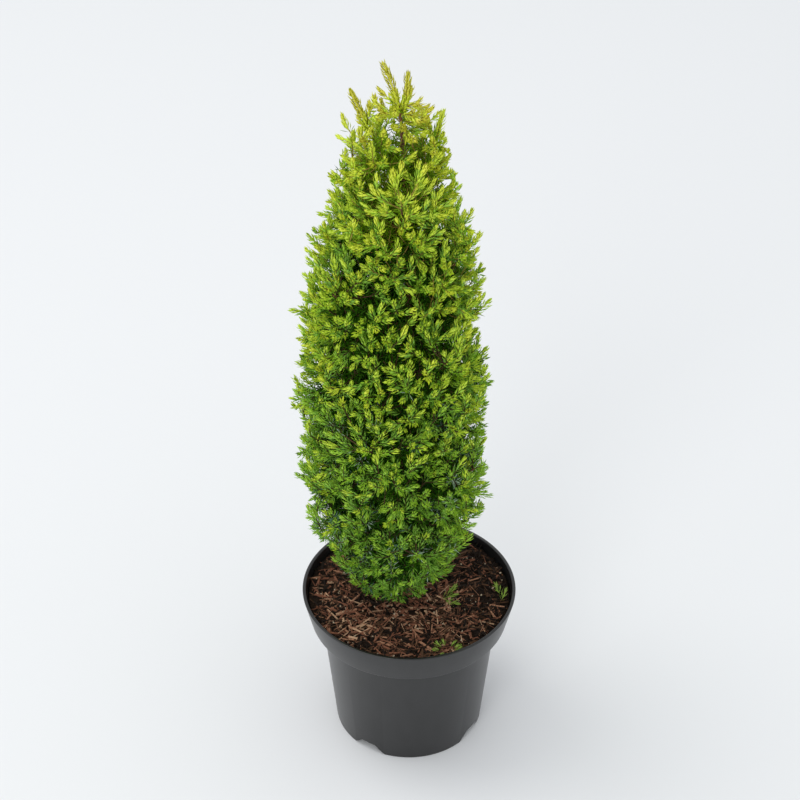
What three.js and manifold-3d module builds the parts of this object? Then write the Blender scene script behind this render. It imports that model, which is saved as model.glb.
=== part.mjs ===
// A young columnar juniper growing in a black nursery pot.
// Millimetres, Z up, origin at the centre of the pot's underside, front of the plant towards -Y.
import * as THREE from "three";
import { mergeVertices } from "three/addons/utils/BufferGeometryUtils.js";
import Module from "manifold-3d";

const wasm = await Module();
wasm.setup();

const { lerp, degToRad } = THREE.MathUtils;
const CLEARANCE = 0.3;
const SNUG_GAP = 0.4;
const LOOSE_GAP = 0.5;
const WELD = 1e-4;
const SMALLEST_EDGE = 0.05;
const CORNER_GRID = 0.004;
const GOLDEN_ANGLE = Math.PI * (3 - Math.sqrt(5));

// Pot: a tapering body, a wider collar under the rim, a raised floor and four notches in the foot
const RIM_RADIUS = 95;
const POT_HEIGHT = 149;
const COLLAR_HEIGHT = 30;
const COLLAR_FOOT_RADIUS = 88;
const BODY_TOP_RADIUS = 78.5;
const BASE_RADIUS = 67;
const POT_WALL = 1.6;
const LIP_WIDTH = 3;
const FLOOR_LIFT = 5;
const FOOT_WIDTH = 4;
const POT_SIDES = 40;
const NOTCH_COUNT = 4;
const NOTCH_ANGLE = degToRad(237);
const NOTCH_WIDTH = 32;
const NOTCH_HEIGHT = 9.5;
const NOTCH_REACH = 20;

// Soil: fills the pot to a little under the rim and rises gently to a level pad round the trunk
const SOIL_EDGE_Z = 140;
const SOIL_PAD_Z = 142;
const SOIL_PAD_RADIUS = 18;
const SOIL_BUMP = 1.6;
const SOIL_WAVE_X = 48;
const SOIL_WAVE_Y = 57;
const SOIL_SIDES = 20;
const SOIL_RINGS = 3;

// Trunk: a thin leaning stem, flared at the foot
const TRUNK_FOOT_X = -4;
const TRUNK_FOOT_Z = SOIL_PAD_Z + CLEARANCE;
const TRUNK_TIP_Z = 604;
const TRUNK_LEAN = -3;
const TRUNK_BOW = 5;
const TRUNK_SWAY = 2.5;
const TRUNK_FOOT_RADIUS = 5.2;
const TRUNK_TIP_RADIUS = 1.3;
const FLARE_WIDTH = 3.4;
const FLARE_HEIGHT = 12;
const TRUNK_SIDES = 8;
const TRUNK_STEPS = 16;
const TRUNK_CROWDING = 1.8;

// Crown: an uneven egg-shaped outline, fuller on the left, from just over the soil to the leader's tip
const CROWN_X = -10;
const CROWN_BOW = -5;
const CROWN_BOTTOM_Z = 143;
const CROWN_WIDEST_Z = 300;
const CROWN_TOP_Z = 656;
const CROWN_RADIUS = 80;
const CROWN_LUMP = 0.035;
const WIDE_LUMPS = 2;
const WIDE_LUMP_PITCH = 18;
const SMALL_LUMPS = 3;
const SMALL_LUMP_PITCH = 11;
const LOW_SHOULDER = 1.8;
const LOW_POINT = 0.5;
const HIGH_SHOULDER = 2;
const HIGH_POINT = 0.75;
const SOIL_SPACE = 4;

// Boughs: a spiral up the trunk, closer together low down, each rising in a curve to the outline
const BOUGH_COUNT = 20;
const FIRST_BOUGH_Z = 148;
const LAST_BOUGH_Z = 556;
const LOW_CROWDING = 1.25;
const LAST_BOUGH_ANGLE = Math.PI;
const LOW_CLIMB = 30;
const HIGH_CLIMB = 78;
const BEND_OUT = 0.55;
const BEND_UP = 0.3;
const STEM_OVERSHOOT = 14;
const BOUGH_SHARE = 0.3;
const LOW_BOUGH_RADIUS = 2.2;
const HIGH_BOUGH_RADIUS = 1.2;
const BOUGH_TAPER = 1.25;
const BOUGH_SIDES = 5;
const BOUGH_STEPS = 2;
const SLEEVE_SHARE = BOUGH_SHARE + 0.006;
const STEM_STEPS = 3;
const STEM_END = 0.85;
const BARE_STEM_END = 0.6;
const LEADER_TIP = new THREE.Vector3(-21, 0, 655);
const TWIN_TIP = new THREE.Vector3(-2, 0, 647);
const TWIN_FROM = 0.12;
const LEADER_BOW = 4;
const LEADER_RADIUS = 4;
const LEADER_TAPER = 1.1;

// Foliage: one mass to each bough and one on the trunk's tip, shoots standing out of a dense heart
const LOW_CENTRE_SHARE = 0.45;
const HIGH_CENTRE_SHARE = 0.75;
const LEADER_CENTRE_SHARE = 0.5;
const HEART_SHARE = 0.64;
const HEART_MARGIN = 0.5;
const LEAST_HEART = 1;
const FIRST_SEED = 1000;
const SHOOT_TRIES = 240;
const FULL_SHOOT = 34;
const SHORTEST_SHOOT = 15;
const SLIM_SHARE = 0.5;
const TIP_SPACING = 19;
const LEADER_TIP_SPACING = 11;
const TIP_INNERMOST = 0.82;
const TIP_SCATTER = 0.12;
const TIP_SHOOT_FROM = 0.55;
const TIP_SHOOT_SLACK = 8;
const TWIG_TOP_Z = 628;
const FIRST_TWIG = [0.05, 0.09];
const TWIG_STEP = 0.04;
const TWIG_SLOPE = 0.6;
const WHORL_NEEDLES = 3;
const LOW_WHORL_BACK = 15;
const LOW_WHORL_RADIUS = 6.5;
const HIGH_WHORL_BACK = 5.5;
const HIGH_WHORL_RADIUS = 4.2;
const SPACE_MARGIN = 0.4;
const LIMB_MARGIN = 0.6;

// Colours and finishes seen on the plant
const POT_PLASTIC = { color: 0x2c2c2e, roughness: 0.5 };
const MULCH = { color: 0x3f3124, roughness: 0.95 };
const BARK = { color: 0x6b4a34, roughness: 0.9 };
const LOW_GREEN = new THREE.Color(0x3f5f22);
const HIGH_GREEN = new THREE.Color(0x8f9f3c);
const NEEDLE_ROUGHNESS = 0.7;

// A repeatable run of numbers from 0 to 1
function dice(seed) {
  let state = seed >>> 0;
  return () => {
    state = (state + 0x6d2b79f5) >>> 0;
    let mixed = Math.imul(state ^ (state >>> 15), state | 1);
    mixed ^= mixed + Math.imul(mixed ^ (mixed >>> 7), mixed | 61);
    return ((mixed ^ (mixed >>> 14)) >>> 0) / 4294967296;
  };
}

// Solids and meshes
function solidOf(geometry) {
  const bare = new THREE.BufferGeometry().setAttribute("position", geometry.getAttribute("position"));
  const { index, attributes } = mergeVertices(bare.setIndex(geometry.index), WELD);
  const triVerts = [];
  for (let i = 0; i < index.count; i += 3) {
    const [a, b, c] = index.array.slice(i, i + 3);
    if (a !== b && b !== c && c !== a) triVerts.push(a, b, c);
  }
  return new wasm.Manifold(
    new wasm.Mesh({
      numProp: 3,
      vertProperties: attributes.position.array,
      triVerts: new Uint32Array(triVerts),
    }),
  );
}

function geometryOf(solid) {
  const { vertProperties, triVerts } = solid.getMesh();
  const geometry = new THREE.BufferGeometry();
  geometry.setAttribute("position", new THREE.BufferAttribute(vertProperties, 3));
  return geometry.setIndex(new THREE.BufferAttribute(triVerts, 1));
}

function meshOf(name, solid, finish) {
  const geometry = geometryOf(solid);
  geometry.computeVertexNormals();
  const mesh = new THREE.Mesh(geometry, new THREE.MeshStandardMaterial({ ...finish, metalness: 0 }));
  mesh.name = name;
  return mesh;
}

// A body with its corners settled on a fine grid, or nothing where that leaves it open
function settledBody(solid) {
  const geometry = geometryOf(solid.simplify(SMALLEST_EDGE));
  const corners = geometry.getAttribute("position").array;
  corners.forEach((value, i) => {
    corners[i] = Math.round(value / CORNER_GRID) * CORNER_GRID;
  });
  try {
    const body = largestBody(solidOf(geometry));
    return edgesPair(geometryOf(body)) ? body : null;
  } catch {
    return null;
  }
}

// Whether every edge lies between just two faces
function edgesPair(geometry) {
  const corners = mergeVertices(geometry, WELD).index.array;
  const uses = new Map();
  for (let i = 0; i < corners.length; i += 1) {
    const next = i % 3 === 2 ? i - 2 : i + 1;
    const edge = [corners[i], corners[next]].sort((a, b) => a - b).join(" ");
    uses.set(edge, (uses.get(edge) ?? 0) + 1);
  }
  return [...uses.values()].every((count) => count === 2);
}

function largestBody(solid) {
  const bodies = solid.decompose();
  return bodies.reduce((best, body) => (body.volume() > best.volume() ? body : best));
}

// Pot and soil
function latheSolid(profile, sides) {
  const points = profile.map(([radius, z]) => new THREE.Vector2(radius, z));
  return solidOf(new THREE.LatheGeometry(points, sides).rotateX(Math.PI / 2));
}

function potSolid() {
  const collarZ = POT_HEIGHT - COLLAR_HEIGHT;
  const floorTop = FLOOR_LIFT + POT_WALL;
  const profile = [
    [0, FLOOR_LIFT],
    [BASE_RADIUS - FOOT_WIDTH, FLOOR_LIFT],
    [BASE_RADIUS - FOOT_WIDTH, 0],
    [BASE_RADIUS, 0],
    [BODY_TOP_RADIUS, collarZ],
    [COLLAR_FOOT_RADIUS, collarZ],
    [RIM_RADIUS, POT_HEIGHT],
    [RIM_RADIUS - LIP_WIDTH, POT_HEIGHT],
    [COLLAR_FOOT_RADIUS - POT_WALL, collarZ + POT_WALL],
    [BODY_TOP_RADIUS - POT_WALL, collarZ + POT_WALL],
    [BASE_RADIUS - POT_WALL, floorTop],
    [0, floorTop],
  ];
  const notches = Array.from({ length: NOTCH_COUNT }, (_, i) =>
    notchSolid(NOTCH_ANGLE + (i * 2 * Math.PI) / NOTCH_COUNT),
  );
  return latheSolid(profile, POT_SIDES).subtract(wasm.Manifold.union(notches));
}

// One drain notch: a trapezium that opens the foot and the edge of the floor
function notchSolid(angle) {
  const below = 1;
  const half = NOTCH_WIDTH / 2;
  const outline = new THREE.Shape();
  outline.moveTo(-half - below, -below);
  outline.lineTo(half + below, -below);
  outline.lineTo(half - NOTCH_HEIGHT, NOTCH_HEIGHT);
  outline.lineTo(NOTCH_HEIGHT - half, NOTCH_HEIGHT);
  outline.closePath();
  const cutter = new THREE.ExtrudeGeometry(outline, { depth: NOTCH_REACH, bevelEnabled: false });
  cutter.rotateX(Math.PI / 2).rotateZ(Math.PI / 2);
  cutter.translate(BASE_RADIUS + below - NOTCH_REACH, 0, 0);
  return solidOf(cutter.rotateZ(angle));
}

function soilSolid() {
  const collarZ = POT_HEIGHT - COLLAR_HEIGHT;
  const floorZ = FLOOR_LIFT + POT_WALL;
  const collarRise = (SOIL_EDGE_Z - collarZ - POT_WALL) / (POT_HEIGHT - collarZ - POT_WALL);
  const bodyTop = BODY_TOP_RADIUS - POT_WALL;
  const collarFoot = COLLAR_FOOT_RADIUS - POT_WALL;
  const edgeRadius = lerp(collarFoot, RIM_RADIUS - LIP_WIDTH, collarRise) - SNUG_GAP;
  const profile = [
    [0, floorZ + SNUG_GAP],
    [BASE_RADIUS - POT_WALL - SNUG_GAP, floorZ + SNUG_GAP],
    [bodyTop - SNUG_GAP, collarZ + POT_WALL + SNUG_GAP],
    [collarFoot - SNUG_GAP, collarZ + POT_WALL + SNUG_GAP],
    [edgeRadius, SOIL_EDGE_Z],
  ];
  for (let ring = SOIL_RINGS - 1; ring > 0; ring -= 1) {
    const share = ring / SOIL_RINGS;
    profile.push([lerp(SOIL_PAD_RADIUS, edgeRadius, share), lerp(SOIL_PAD_Z, SOIL_EDGE_Z, share)]);
  }
  profile.push([SOIL_PAD_RADIUS, SOIL_PAD_Z], [0, SOIL_PAD_Z]);
  return latheSolid(profile, SOIL_SIDES).warp(roughenSoil);
}

// Small rises and hollows of the bark mulch, between the pad and the edge
function roughenSoil(point) {
  const [x, y, z] = point;
  const pastPad = Math.hypot(x, y) > SOIL_PAD_RADIUS + CLEARANCE;
  if (pastPad && z > SOIL_EDGE_Z + CLEARANCE) {
    const across = Math.sin((2 * Math.PI * x) / SOIL_WAVE_X);
    const along = Math.cos((2 * Math.PI * y) / SOIL_WAVE_Y);
    point[2] += SOIL_BUMP * across * along;
  }
}

// Trunk
class TrunkLine extends THREE.Curve {
  getPoint(t, target = new THREE.Vector3()) {
    const x = TRUNK_FOOT_X + TRUNK_LEAN * t + TRUNK_BOW * Math.sin(Math.PI * t);
    const y = TRUNK_SWAY * Math.sin(2 * Math.PI * t);
    return target.set(x, y, lerp(TRUNK_FOOT_Z, TRUNK_TIP_Z, t));
  }

  getTangent(t, target = new THREE.Vector3()) {
    const x = TRUNK_LEAN + Math.PI * TRUNK_BOW * Math.cos(Math.PI * t);
    const y = 2 * Math.PI * TRUNK_SWAY * Math.cos(2 * Math.PI * t);
    return target.set(x, y, TRUNK_TIP_Z - TRUNK_FOOT_Z).normalize();
  }
}

function trunkAt(z) {
  return trunkLine.getPoint((z - TRUNK_FOOT_Z) / (TRUNK_TIP_Z - TRUNK_FOOT_Z));
}

function trunkRadius(t) {
  const height = t * (TRUNK_TIP_Z - TRUNK_FOOT_Z);
  return lerp(TRUNK_FOOT_RADIUS, TRUNK_TIP_RADIUS, t) + FLARE_WIDTH * Math.exp(-height / FLARE_HEIGHT);
}

// The trunk from a little under the ground, or a sleeve that stands clear of it all round
function trunkLimb(allowance) {
  const below = -0.01;
  const over = 1 + allowance / (TRUNK_TIP_Z - TRUNK_FOOT_Z);
  const radiusAt = (t) => trunkRadius(t) + allowance;
  return limbSolid(trunkLine, below, over, radiusAt, TRUNK_SIDES, TRUNK_STEPS, TRUNK_CROWDING);
}

// Everything under the level cut at the trunk's foot
function groundBlock() {
  const width = 2 * SOIL_PAD_RADIUS;
  const depth = 30;
  const block = new THREE.BoxGeometry(width, width, depth);
  return solidOf(block.translate(TRUNK_FOOT_X, 0, TRUNK_FOOT_Z - depth / 2));
}

// Two directions square to a line and to each other, the first one level wherever the line leans
function crossDirections(tangent) {
  const side = new THREE.Vector3(-tangent.y, tangent.x, 0);
  const leastLean = 0.2;
  if (side.length() < leastLean) side.set(0, 1, 0);
  side.addScaledVector(tangent, -side.dot(tangent)).normalize();
  return [side, new THREE.Vector3().crossVectors(tangent, side)];
}

// A round limb along part of a line, its radius given by a function of the share of the line;
// crowding over 1 brings its rings closer together towards the start
function limbSolid(line, from, to, radiusAt, sides, steps, crowding = 1) {
  const geometry = new THREE.CylinderGeometry(1, 1, 1, sides, steps);
  const positions = geometry.getAttribute("position");
  const vertex = new THREE.Vector3();
  for (let i = 0; i < positions.count; i += 1) {
    vertex.fromBufferAttribute(positions, i);
    const t = lerp(from, to, (vertex.y + 0.5) ** crowding);
    const [side, other] = crossDirections(line.getTangent(t));
    const place = line.getPoint(t);
    place.addScaledVector(side, vertex.z * radiusAt(t));
    place.addScaledVector(other, vertex.x * radiusAt(t));
    positions.setXYZ(i, place.x, place.y, place.z);
  }
  return solidOf(geometry);
}

// Crown outline: the middle size of a circle round the crown's own bowed axis at every height
function crownX(z) {
  return CROWN_X + CROWN_BOW * Math.sin((Math.PI * (z - CROWN_BOTTOM_Z)) / (CROWN_TOP_Z - CROWN_BOTTOM_Z));
}

function crownRadius(z) {
  if (z <= CROWN_BOTTOM_Z || z >= CROWN_TOP_Z) return 0;
  if (z < CROWN_WIDEST_Z) {
    const down = (CROWN_WIDEST_Z - z) / (CROWN_WIDEST_Z - CROWN_BOTTOM_Z);
    return CROWN_RADIUS * (1 - down ** LOW_SHOULDER) ** LOW_POINT;
  }
  const up = (z - CROWN_WIDEST_Z) / (CROWN_TOP_Z - CROWN_WIDEST_Z);
  return CROWN_RADIUS * (1 - up ** HIGH_SHOULDER) ** HIGH_POINT;
}

// The outline at a place, with the low swells that wind round the crown
function outlineAt(place) {
  const angle = Math.atan2(place.y, place.x - crownX(place.z));
  const wide = Math.sin(WIDE_LUMPS * angle + place.z / WIDE_LUMP_PITCH);
  const small = Math.sin(SMALL_LUMPS * angle - place.z / SMALL_LUMP_PITCH);
  return crownRadius(place.z) * (1 + CROWN_LUMP * (wide + small));
}

function crownDistance(place) {
  return Math.hypot(place.x - crownX(place.z), place.y);
}

// How far the outline stands from the trunk's line in one compass direction
function outlineReach(angle, z) {
  const foot = trunkAt(Math.min(z, TRUNK_TIP_Z));
  const offX = foot.x - crownX(z);
  const along = offX * Math.cos(angle) + foot.y * Math.sin(angle);
  const inside = along ** 2 - (offX ** 2 + foot.y ** 2 - crownRadius(z) ** 2);
  return inside > 0 ? -along + Math.sqrt(inside) : 0;
}

// Boughs and stems: a bough is the lower part of its line, the stem of its mass the upper part
function riseOf(index) {
  return index / (BOUGH_COUNT - 1);
}

function boughLine(index) {
  const rise = riseOf(index);
  const angle = LAST_BOUGH_ANGLE - (BOUGH_COUNT - 1 - index) * GOLDEN_ANGLE;
  const outward = new THREE.Vector3(Math.cos(angle), Math.sin(angle), 0);
  const footZ = lerp(FIRST_BOUGH_Z, LAST_BOUGH_Z, rise ** LOW_CROWDING);
  const climb = lerp(LOW_CLIMB, HIGH_CLIMB, rise);
  const reach = outlineReach(angle, footZ + climb) + STEM_OVERSHOOT * rise;
  const foot = trunkAt(footZ);
  const bend = foot.clone().addScaledVector(outward, BEND_OUT * reach);
  bend.z += BEND_UP * climb;
  const tip = foot.clone().addScaledVector(outward, reach);
  tip.z += climb;
  return new THREE.QuadraticBezierCurve3(foot, bend, tip);
}

function leaderLine() {
  const foot = trunkLine.getPoint(1);
  foot.z += CLEARANCE;
  const bend = foot.clone().lerp(LEADER_TIP, 0.5);
  bend.x += LEADER_BOW;
  return new THREE.QuadraticBezierCurve3(foot, bend, LEADER_TIP);
}

function boughRadius(index, t) {
  return lerp(LOW_BOUGH_RADIUS, HIGH_BOUGH_RADIUS, riseOf(index)) * (BOUGH_TAPER - t);
}

function boughLimb(index, end, allowance) {
  const radiusAt = (t) => boughRadius(index, t) + allowance;
  return limbSolid(boughLines[index], 0, end, radiusAt, BOUGH_SIDES, BOUGH_STEPS);
}

// The stem of a mass, or a sleeve that stands clear of it all round
function stemLimb({ line, from, radiusAt }, end, allowance) {
  return limbSolid(line, from, end, (t) => radiusAt(t) + allowance, BOUGH_SIDES, STEM_STEPS);
}

// The stem on a bough's tip starts a clearance past it
function boughStem(index) {
  const line = boughLines[index];
  const step = 0.01;
  const speed = line.getPoint(BOUGH_SHARE).distanceTo(line.getPoint(BOUGH_SHARE + step)) / step;
  return {
    line,
    from: BOUGH_SHARE + CLEARANCE / speed,
    radiusAt: (t) => boughRadius(index, t),
    centre: line.getPoint(lerp(LOW_CENTRE_SHARE, HIGH_CENTRE_SHARE, riseOf(index))),
    overshoot: STEM_OVERSHOOT * riseOf(index),
    tipSpacing: TIP_SPACING,
    spikes: [{ root: line.getPoint(TIP_SHOOT_FROM), tip: line.getPoint(1) }],
    hasHeart: true,
  };
}

function leaderStem() {
  const line = leaderLine();
  return {
    line,
    from: 0,
    radiusAt: (t) => LEADER_RADIUS * (LEADER_TAPER - t),
    centre: line.getPoint(LEADER_CENTRE_SHARE),
    overshoot: STEM_OVERSHOOT,
    tipSpacing: LEADER_TIP_SPACING,
    spikes: [
      { root: line.getPoint(TIP_SHOOT_FROM), tip: LEADER_TIP },
      { root: line.getPoint(TWIN_FROM), tip: TWIN_TIP },
    ],
    hasHeart: false,
  };
}

// The growing plan: every limb, every stem and the sleeves that keep foliage off the limbs
const trunkLine = new TrunkLine();
const boughLines = Array.from({ length: BOUGH_COUNT }, (_, index) => boughLine(index));
const leader = leaderStem();
const stems = [...boughLines.map((_, index) => boughStem(index)), leader];
const trunkSleeve = trunkLimb(SNUG_GAP);
const boughSleeves = boughLines.map((_, index) => boughLimb(index, SLEEVE_SHARE, LOOSE_GAP));
const leaderSleeve = stemLimb(leader, 1, LOOSE_GAP);
const limbSleeves = wasm.Manifold.union([trunkSleeve, leaderSleeve, ...boughSleeves]);
const limbSpots = limbSamples();

// Points along every limb with its radius there, close enough together to measure clearances from
function limbSamples() {
  const spots = [];
  const trunkSteps = 300;
  for (let i = 0; i <= trunkSteps; i += 1) {
    const t = i / trunkSteps;
    spots.push({ place: trunkLine.getPoint(t), radius: trunkRadius(t) });
  }
  const boughSteps = 24;
  for (let i = 0; i <= boughSteps; i += 1) {
    boughLines.forEach((line, index) => {
      const t = (BOUGH_SHARE * i) / boughSteps;
      spots.push({ place: line.getPoint(t), radius: boughRadius(index, t) });
    });
    const t = i / boughSteps;
    spots.push({ place: leader.line.getPoint(t), radius: leader.radiusAt(t), owner: leader });
  }
  return spots;
}

// Whether a ball keeps off every limb but the stem of its own mass
function clearOfLimbs(place, radius, home) {
  return limbSpots.every((spot) => {
    const gap = spot.place.distanceTo(place) - spot.radius - radius;
    return spot.owner === home || gap > LIMB_MARGIN;
  });
}

// A mass keeps to the space that is nearer to its own centre than to any other, inside the outline
function inSpace(place, home, outlineShare, overshoot) {
  if (place.z < SOIL_PAD_Z + SOIL_SPACE || place.z > CROWN_TOP_Z) return false;
  if (crownDistance(place) > outlineShare * outlineAt(place) + overshoot) return false;
  return stems.every((other) => {
    if (other === home) return true;
    const span = other.centre.distanceTo(home.centre);
    const beyond = place.distanceToSquared(other.centre) - place.distanceToSquared(home.centre);
    return beyond / (2 * span) > SPACE_MARGIN;
  });
}

// How far a straight line can run from a place inside a mass before it leaves the mass's space
function freeRun(start, direction, home, outlineShare, accepts = () => true) {
  const longest = 90;
  const place = start.clone();
  for (let run = 0; run < longest; run += 1) {
    place.add(direction);
    if (!inSpace(place, home, outlineShare, 0) || !accepts(place)) return run;
  }
  return longest;
}

// A shoot: a three-sided twig that swells into a spray, two whorls of needles and a tip
function shootGeometry(root, tip, fullness, roll) {
  const axis = root.clone().sub(tip);
  const size = fullness * Math.min(1, axis.length() / FULL_SHOOT);
  const [side, other] = crossDirections(axis.normalize());
  const needleEnd = (turn, back, radius) =>
    tip
      .clone()
      .addScaledVector(axis, back * size)
      .addScaledVector(side, Math.cos(turn) * radius * size)
      .addScaledVector(other, Math.sin(turn) * radius * size);
  const points = [root, tip];
  const faces = [];
  const spacing = (2 * Math.PI) / WHORL_NEEDLES;
  for (let i = 0; i < WHORL_NEEDLES; i += 1) {
    const turn = roll + i * spacing;
    points.push(needleEnd(turn, LOW_WHORL_BACK, LOW_WHORL_RADIUS));
    points.push(needleEnd(turn + spacing / 2, HIGH_WHORL_BACK, HIGH_WHORL_RADIUS));
    const low = 2 + 2 * i;
    const high = low + 1;
    const next = 2 + 2 * ((i + 1) % WHORL_NEEDLES);
    faces.push(0, low, next, low, high, next, next, high, 1, 1, high, low);
  }
  return new THREE.BufferGeometry().setFromPoints(points).setIndex(faces);
}

// One shoot, or nothing where it would leave its space or touch a limb
function shootWithin(root, tip, home, overshoot, fullness, roll) {
  const geometry = shootGeometry(root, tip, fullness, roll);
  const positions = geometry.getAttribute("position");
  const place = new THREE.Vector3();
  for (let i = 0; i < positions.count; i += 1) {
    place.fromBufferAttribute(positions, i);
    if (!inSpace(place, home, 1, overshoot)) return null;
  }
  const whorlShare = 1 - LOW_WHORL_BACK / Math.max(FULL_SHOOT, root.distanceTo(tip));
  const step = 0.05;
  for (let share = 0; share <= 1; share += step) {
    const width = fullness * LOW_WHORL_RADIUS * Math.min(share / whorlShare, 1);
    if (!clearOfLimbs(place.copy(root).lerp(tip, share), width, home)) return null;
  }
  return { tip, solid: solidOf(geometry) };
}

// The place on a stem from which a twig rises to its tip at about the usual slope
function twigRoot(line, from, tip) {
  let best = null;
  for (let t = from; t < STEM_END; t += TWIG_STEP) {
    const place = line.getPoint(t);
    const level = Math.hypot(tip.x - place.x, tip.y - place.y);
    const miss = Math.abs(tip.z - place.z - TWIG_SLOPE * level);
    if (!best || miss < best.miss) best = { place, miss };
  }
  return best.place;
}

// Directions spread evenly round a mass's centre
function spiralDirection(k, turnedBy) {
  const z = 1 - (2 * k + 1) / SHOOT_TRIES;
  const turn = k * GOLDEN_ANGLE + turnedBy;
  const level = Math.sqrt(1 - z * z);
  return new THREE.Vector3(level * Math.cos(turn), level * Math.sin(turn), z);
}

// A full shoot, or a slim one where the full one doesn't fit
function grownShoot(root, tip, home, overshoot, spin) {
  const full = shootWithin(root, tip, home, overshoot, 1, spin);
  return full ?? shootWithin(root, tip, home, overshoot, SLIM_SHARE, spin);
}

// The shoots of one mass: its spikes first, then twigs to well-spaced places near the outline
function growShoots(home, seed) {
  const { line, from, centre, overshoot, tipSpacing } = home;
  const roll = dice(seed);
  const slack = overshoot + TIP_SHOOT_SLACK;
  const shoots = home.spikes.map(({ root, tip }) => grownShoot(root, tip, home, slack, 0)).filter(Boolean);
  const stemEnd = shoots.length ? STEM_END : BARE_STEM_END;
  for (let k = 0; k < SHOOT_TRIES; k += 1) {
    const direction = spiralDirection(k, seed);
    const run = freeRun(centre, direction, home, 1) * (1 - TIP_SCATTER * roll());
    const tip = centre.clone().addScaledVector(direction, run);
    const root = twigRoot(line, from + lerp(...FIRST_TWIG, roll()), tip);
    const spin = 2 * Math.PI * roll();
    if (crownDistance(tip) < TIP_INNERMOST * outlineAt(tip) || tip.z > TWIG_TOP_Z) continue;
    if (root.distanceTo(tip) < SHORTEST_SHOOT) continue;
    if (shoots.some((other) => other.tip.distanceTo(tip) < tipSpacing)) continue;
    const shoot = grownShoot(root, tip, home, overshoot, spin);
    if (shoot) shoots.push(shoot);
  }
  return { shoots, stemEnd };
}

// The dense heart of a mass: it fills the space up to the roots of the outer sprays, clear of all limbs
function heartSolid(home) {
  const geometry = new THREE.DodecahedronGeometry(1);
  const positions = geometry.getAttribute("position");
  const direction = new THREE.Vector3();
  const middle = home.line.getPoint(LOW_CENTRE_SHARE);
  const offLimbs = (place) => clearOfLimbs(place, HEART_MARGIN, home);
  for (let i = 0; i < positions.count; i += 1) {
    direction.fromBufferAttribute(positions, i).normalize();
    const reach = freeRun(middle, direction, home, HEART_SHARE, offLimbs) - HEART_MARGIN;
    const place = middle.clone().addScaledVector(direction, Math.max(LEAST_HEART, reach));
    positions.setXYZ(i, place.x, place.y, place.z);
  }
  return solidOf(geometry).subtract(limbSleeves);
}

// Stem, heart and shoots fused into one body, with a shoot fewer each time the body doesn't close
function massSolid(home, seed) {
  const { shoots, stemEnd } = growShoots(home, seed);
  const pieces = [stemLimb(home, stemEnd, 0)];
  if (home.hasHeart) pieces.push(heartSolid(home));
  let body = null;
  while (!body) {
    body = settledBody(wasm.Manifold.union([...pieces, ...shoots.map((shoot) => shoot.solid)]));
    shoots.pop();
  }
  return body;
}

function numbered(word, index) {
  return `${word}_${String(index + 1).padStart(2, "0")}`;
}

// The assembled plant
const group = new THREE.Group();
group.name = "potted_juniper";
group.add(meshOf("pot", potSolid(), POT_PLASTIC));
group.add(meshOf("soil", soilSolid(), MULCH));
group.add(meshOf("trunk", trunkLimb(0).subtract(groundBlock()), BARK));
boughLines.forEach((_, index) => {
  const bough = largestBody(boughLimb(index, BOUGH_SHARE, 0).subtract(trunkSleeve));
  group.add(meshOf(numbered("bough", index), bough, BARK));
});
stems.forEach((home, index) => {
  const name = home.hasHeart ? numbered("foliage", index) : "foliage_leader";
  const color = LOW_GREEN.clone().lerp(HIGH_GREEN, (index / (stems.length - 1)) ** 2);
  const needles = { color, roughness: NEEDLE_ROUGHNESS };
  group.add(meshOf(name, massSolid(home, FIRST_SEED + index), needles));
});

export default group;
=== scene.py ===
"""A young columnar juniper in a black nursery pot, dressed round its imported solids."""
import math
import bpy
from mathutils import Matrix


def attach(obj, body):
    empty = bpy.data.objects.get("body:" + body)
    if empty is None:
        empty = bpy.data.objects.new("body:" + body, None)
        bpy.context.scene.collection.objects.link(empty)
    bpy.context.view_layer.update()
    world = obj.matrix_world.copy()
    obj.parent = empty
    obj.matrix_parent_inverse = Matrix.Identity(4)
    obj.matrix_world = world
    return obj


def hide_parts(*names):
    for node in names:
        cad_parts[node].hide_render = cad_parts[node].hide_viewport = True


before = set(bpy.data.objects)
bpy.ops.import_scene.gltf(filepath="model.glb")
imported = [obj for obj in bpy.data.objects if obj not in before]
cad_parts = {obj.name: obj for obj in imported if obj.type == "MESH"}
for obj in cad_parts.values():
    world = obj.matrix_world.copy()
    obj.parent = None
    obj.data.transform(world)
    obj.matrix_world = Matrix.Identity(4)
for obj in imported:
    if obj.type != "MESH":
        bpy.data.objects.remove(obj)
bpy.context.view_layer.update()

from types import SimpleNamespace

import bmesh
import bpy
import numpy as np
from mathutils import Matrix, Vector, noise

# Lengths are in millimetres until a mesh is made
MM = 0.001
WORD = 0xFFFFFFFF
CLEARANCE = 0.3
GOLDEN_ANGLE = math.pi * (3 - math.sqrt(5))

# Pot
RIM_RADIUS = 95
POT_HEIGHT = 149
COLLAR_HEIGHT = 30
COLLAR_Z = POT_HEIGHT - COLLAR_HEIGHT
COLLAR_FOOT_RADIUS = 88
BODY_TOP_RADIUS = 78.5
BASE_RADIUS = 67
POT_WALL = 1.6
LIP_WIDTH = 3
FLOOR_LIFT = 5
FOOT_WIDTH = 4
POT_SIDES = 192
FOOT_ROUNDING = 0.8
BASE_ROUNDING = 1.2
STEP_ROUNDING = 1.5
COLLAR_ROUNDING = 1.6
LIP_ROUNDING = 1.1
INSIDE_ROUNDING = 2
ROUNDING_POINTS = 6
SHARP_ANGLE = math.radians(35)
NOTCH_COUNT = 4
NOTCH_ANGLE = math.radians(237)
NOTCH_WIDTH = 32
NOTCH_HEIGHT = 9.5
NOTCH_REACH = 20
NOTCH_BELOW = 1
NOTCH_BEYOND = 6

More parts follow.
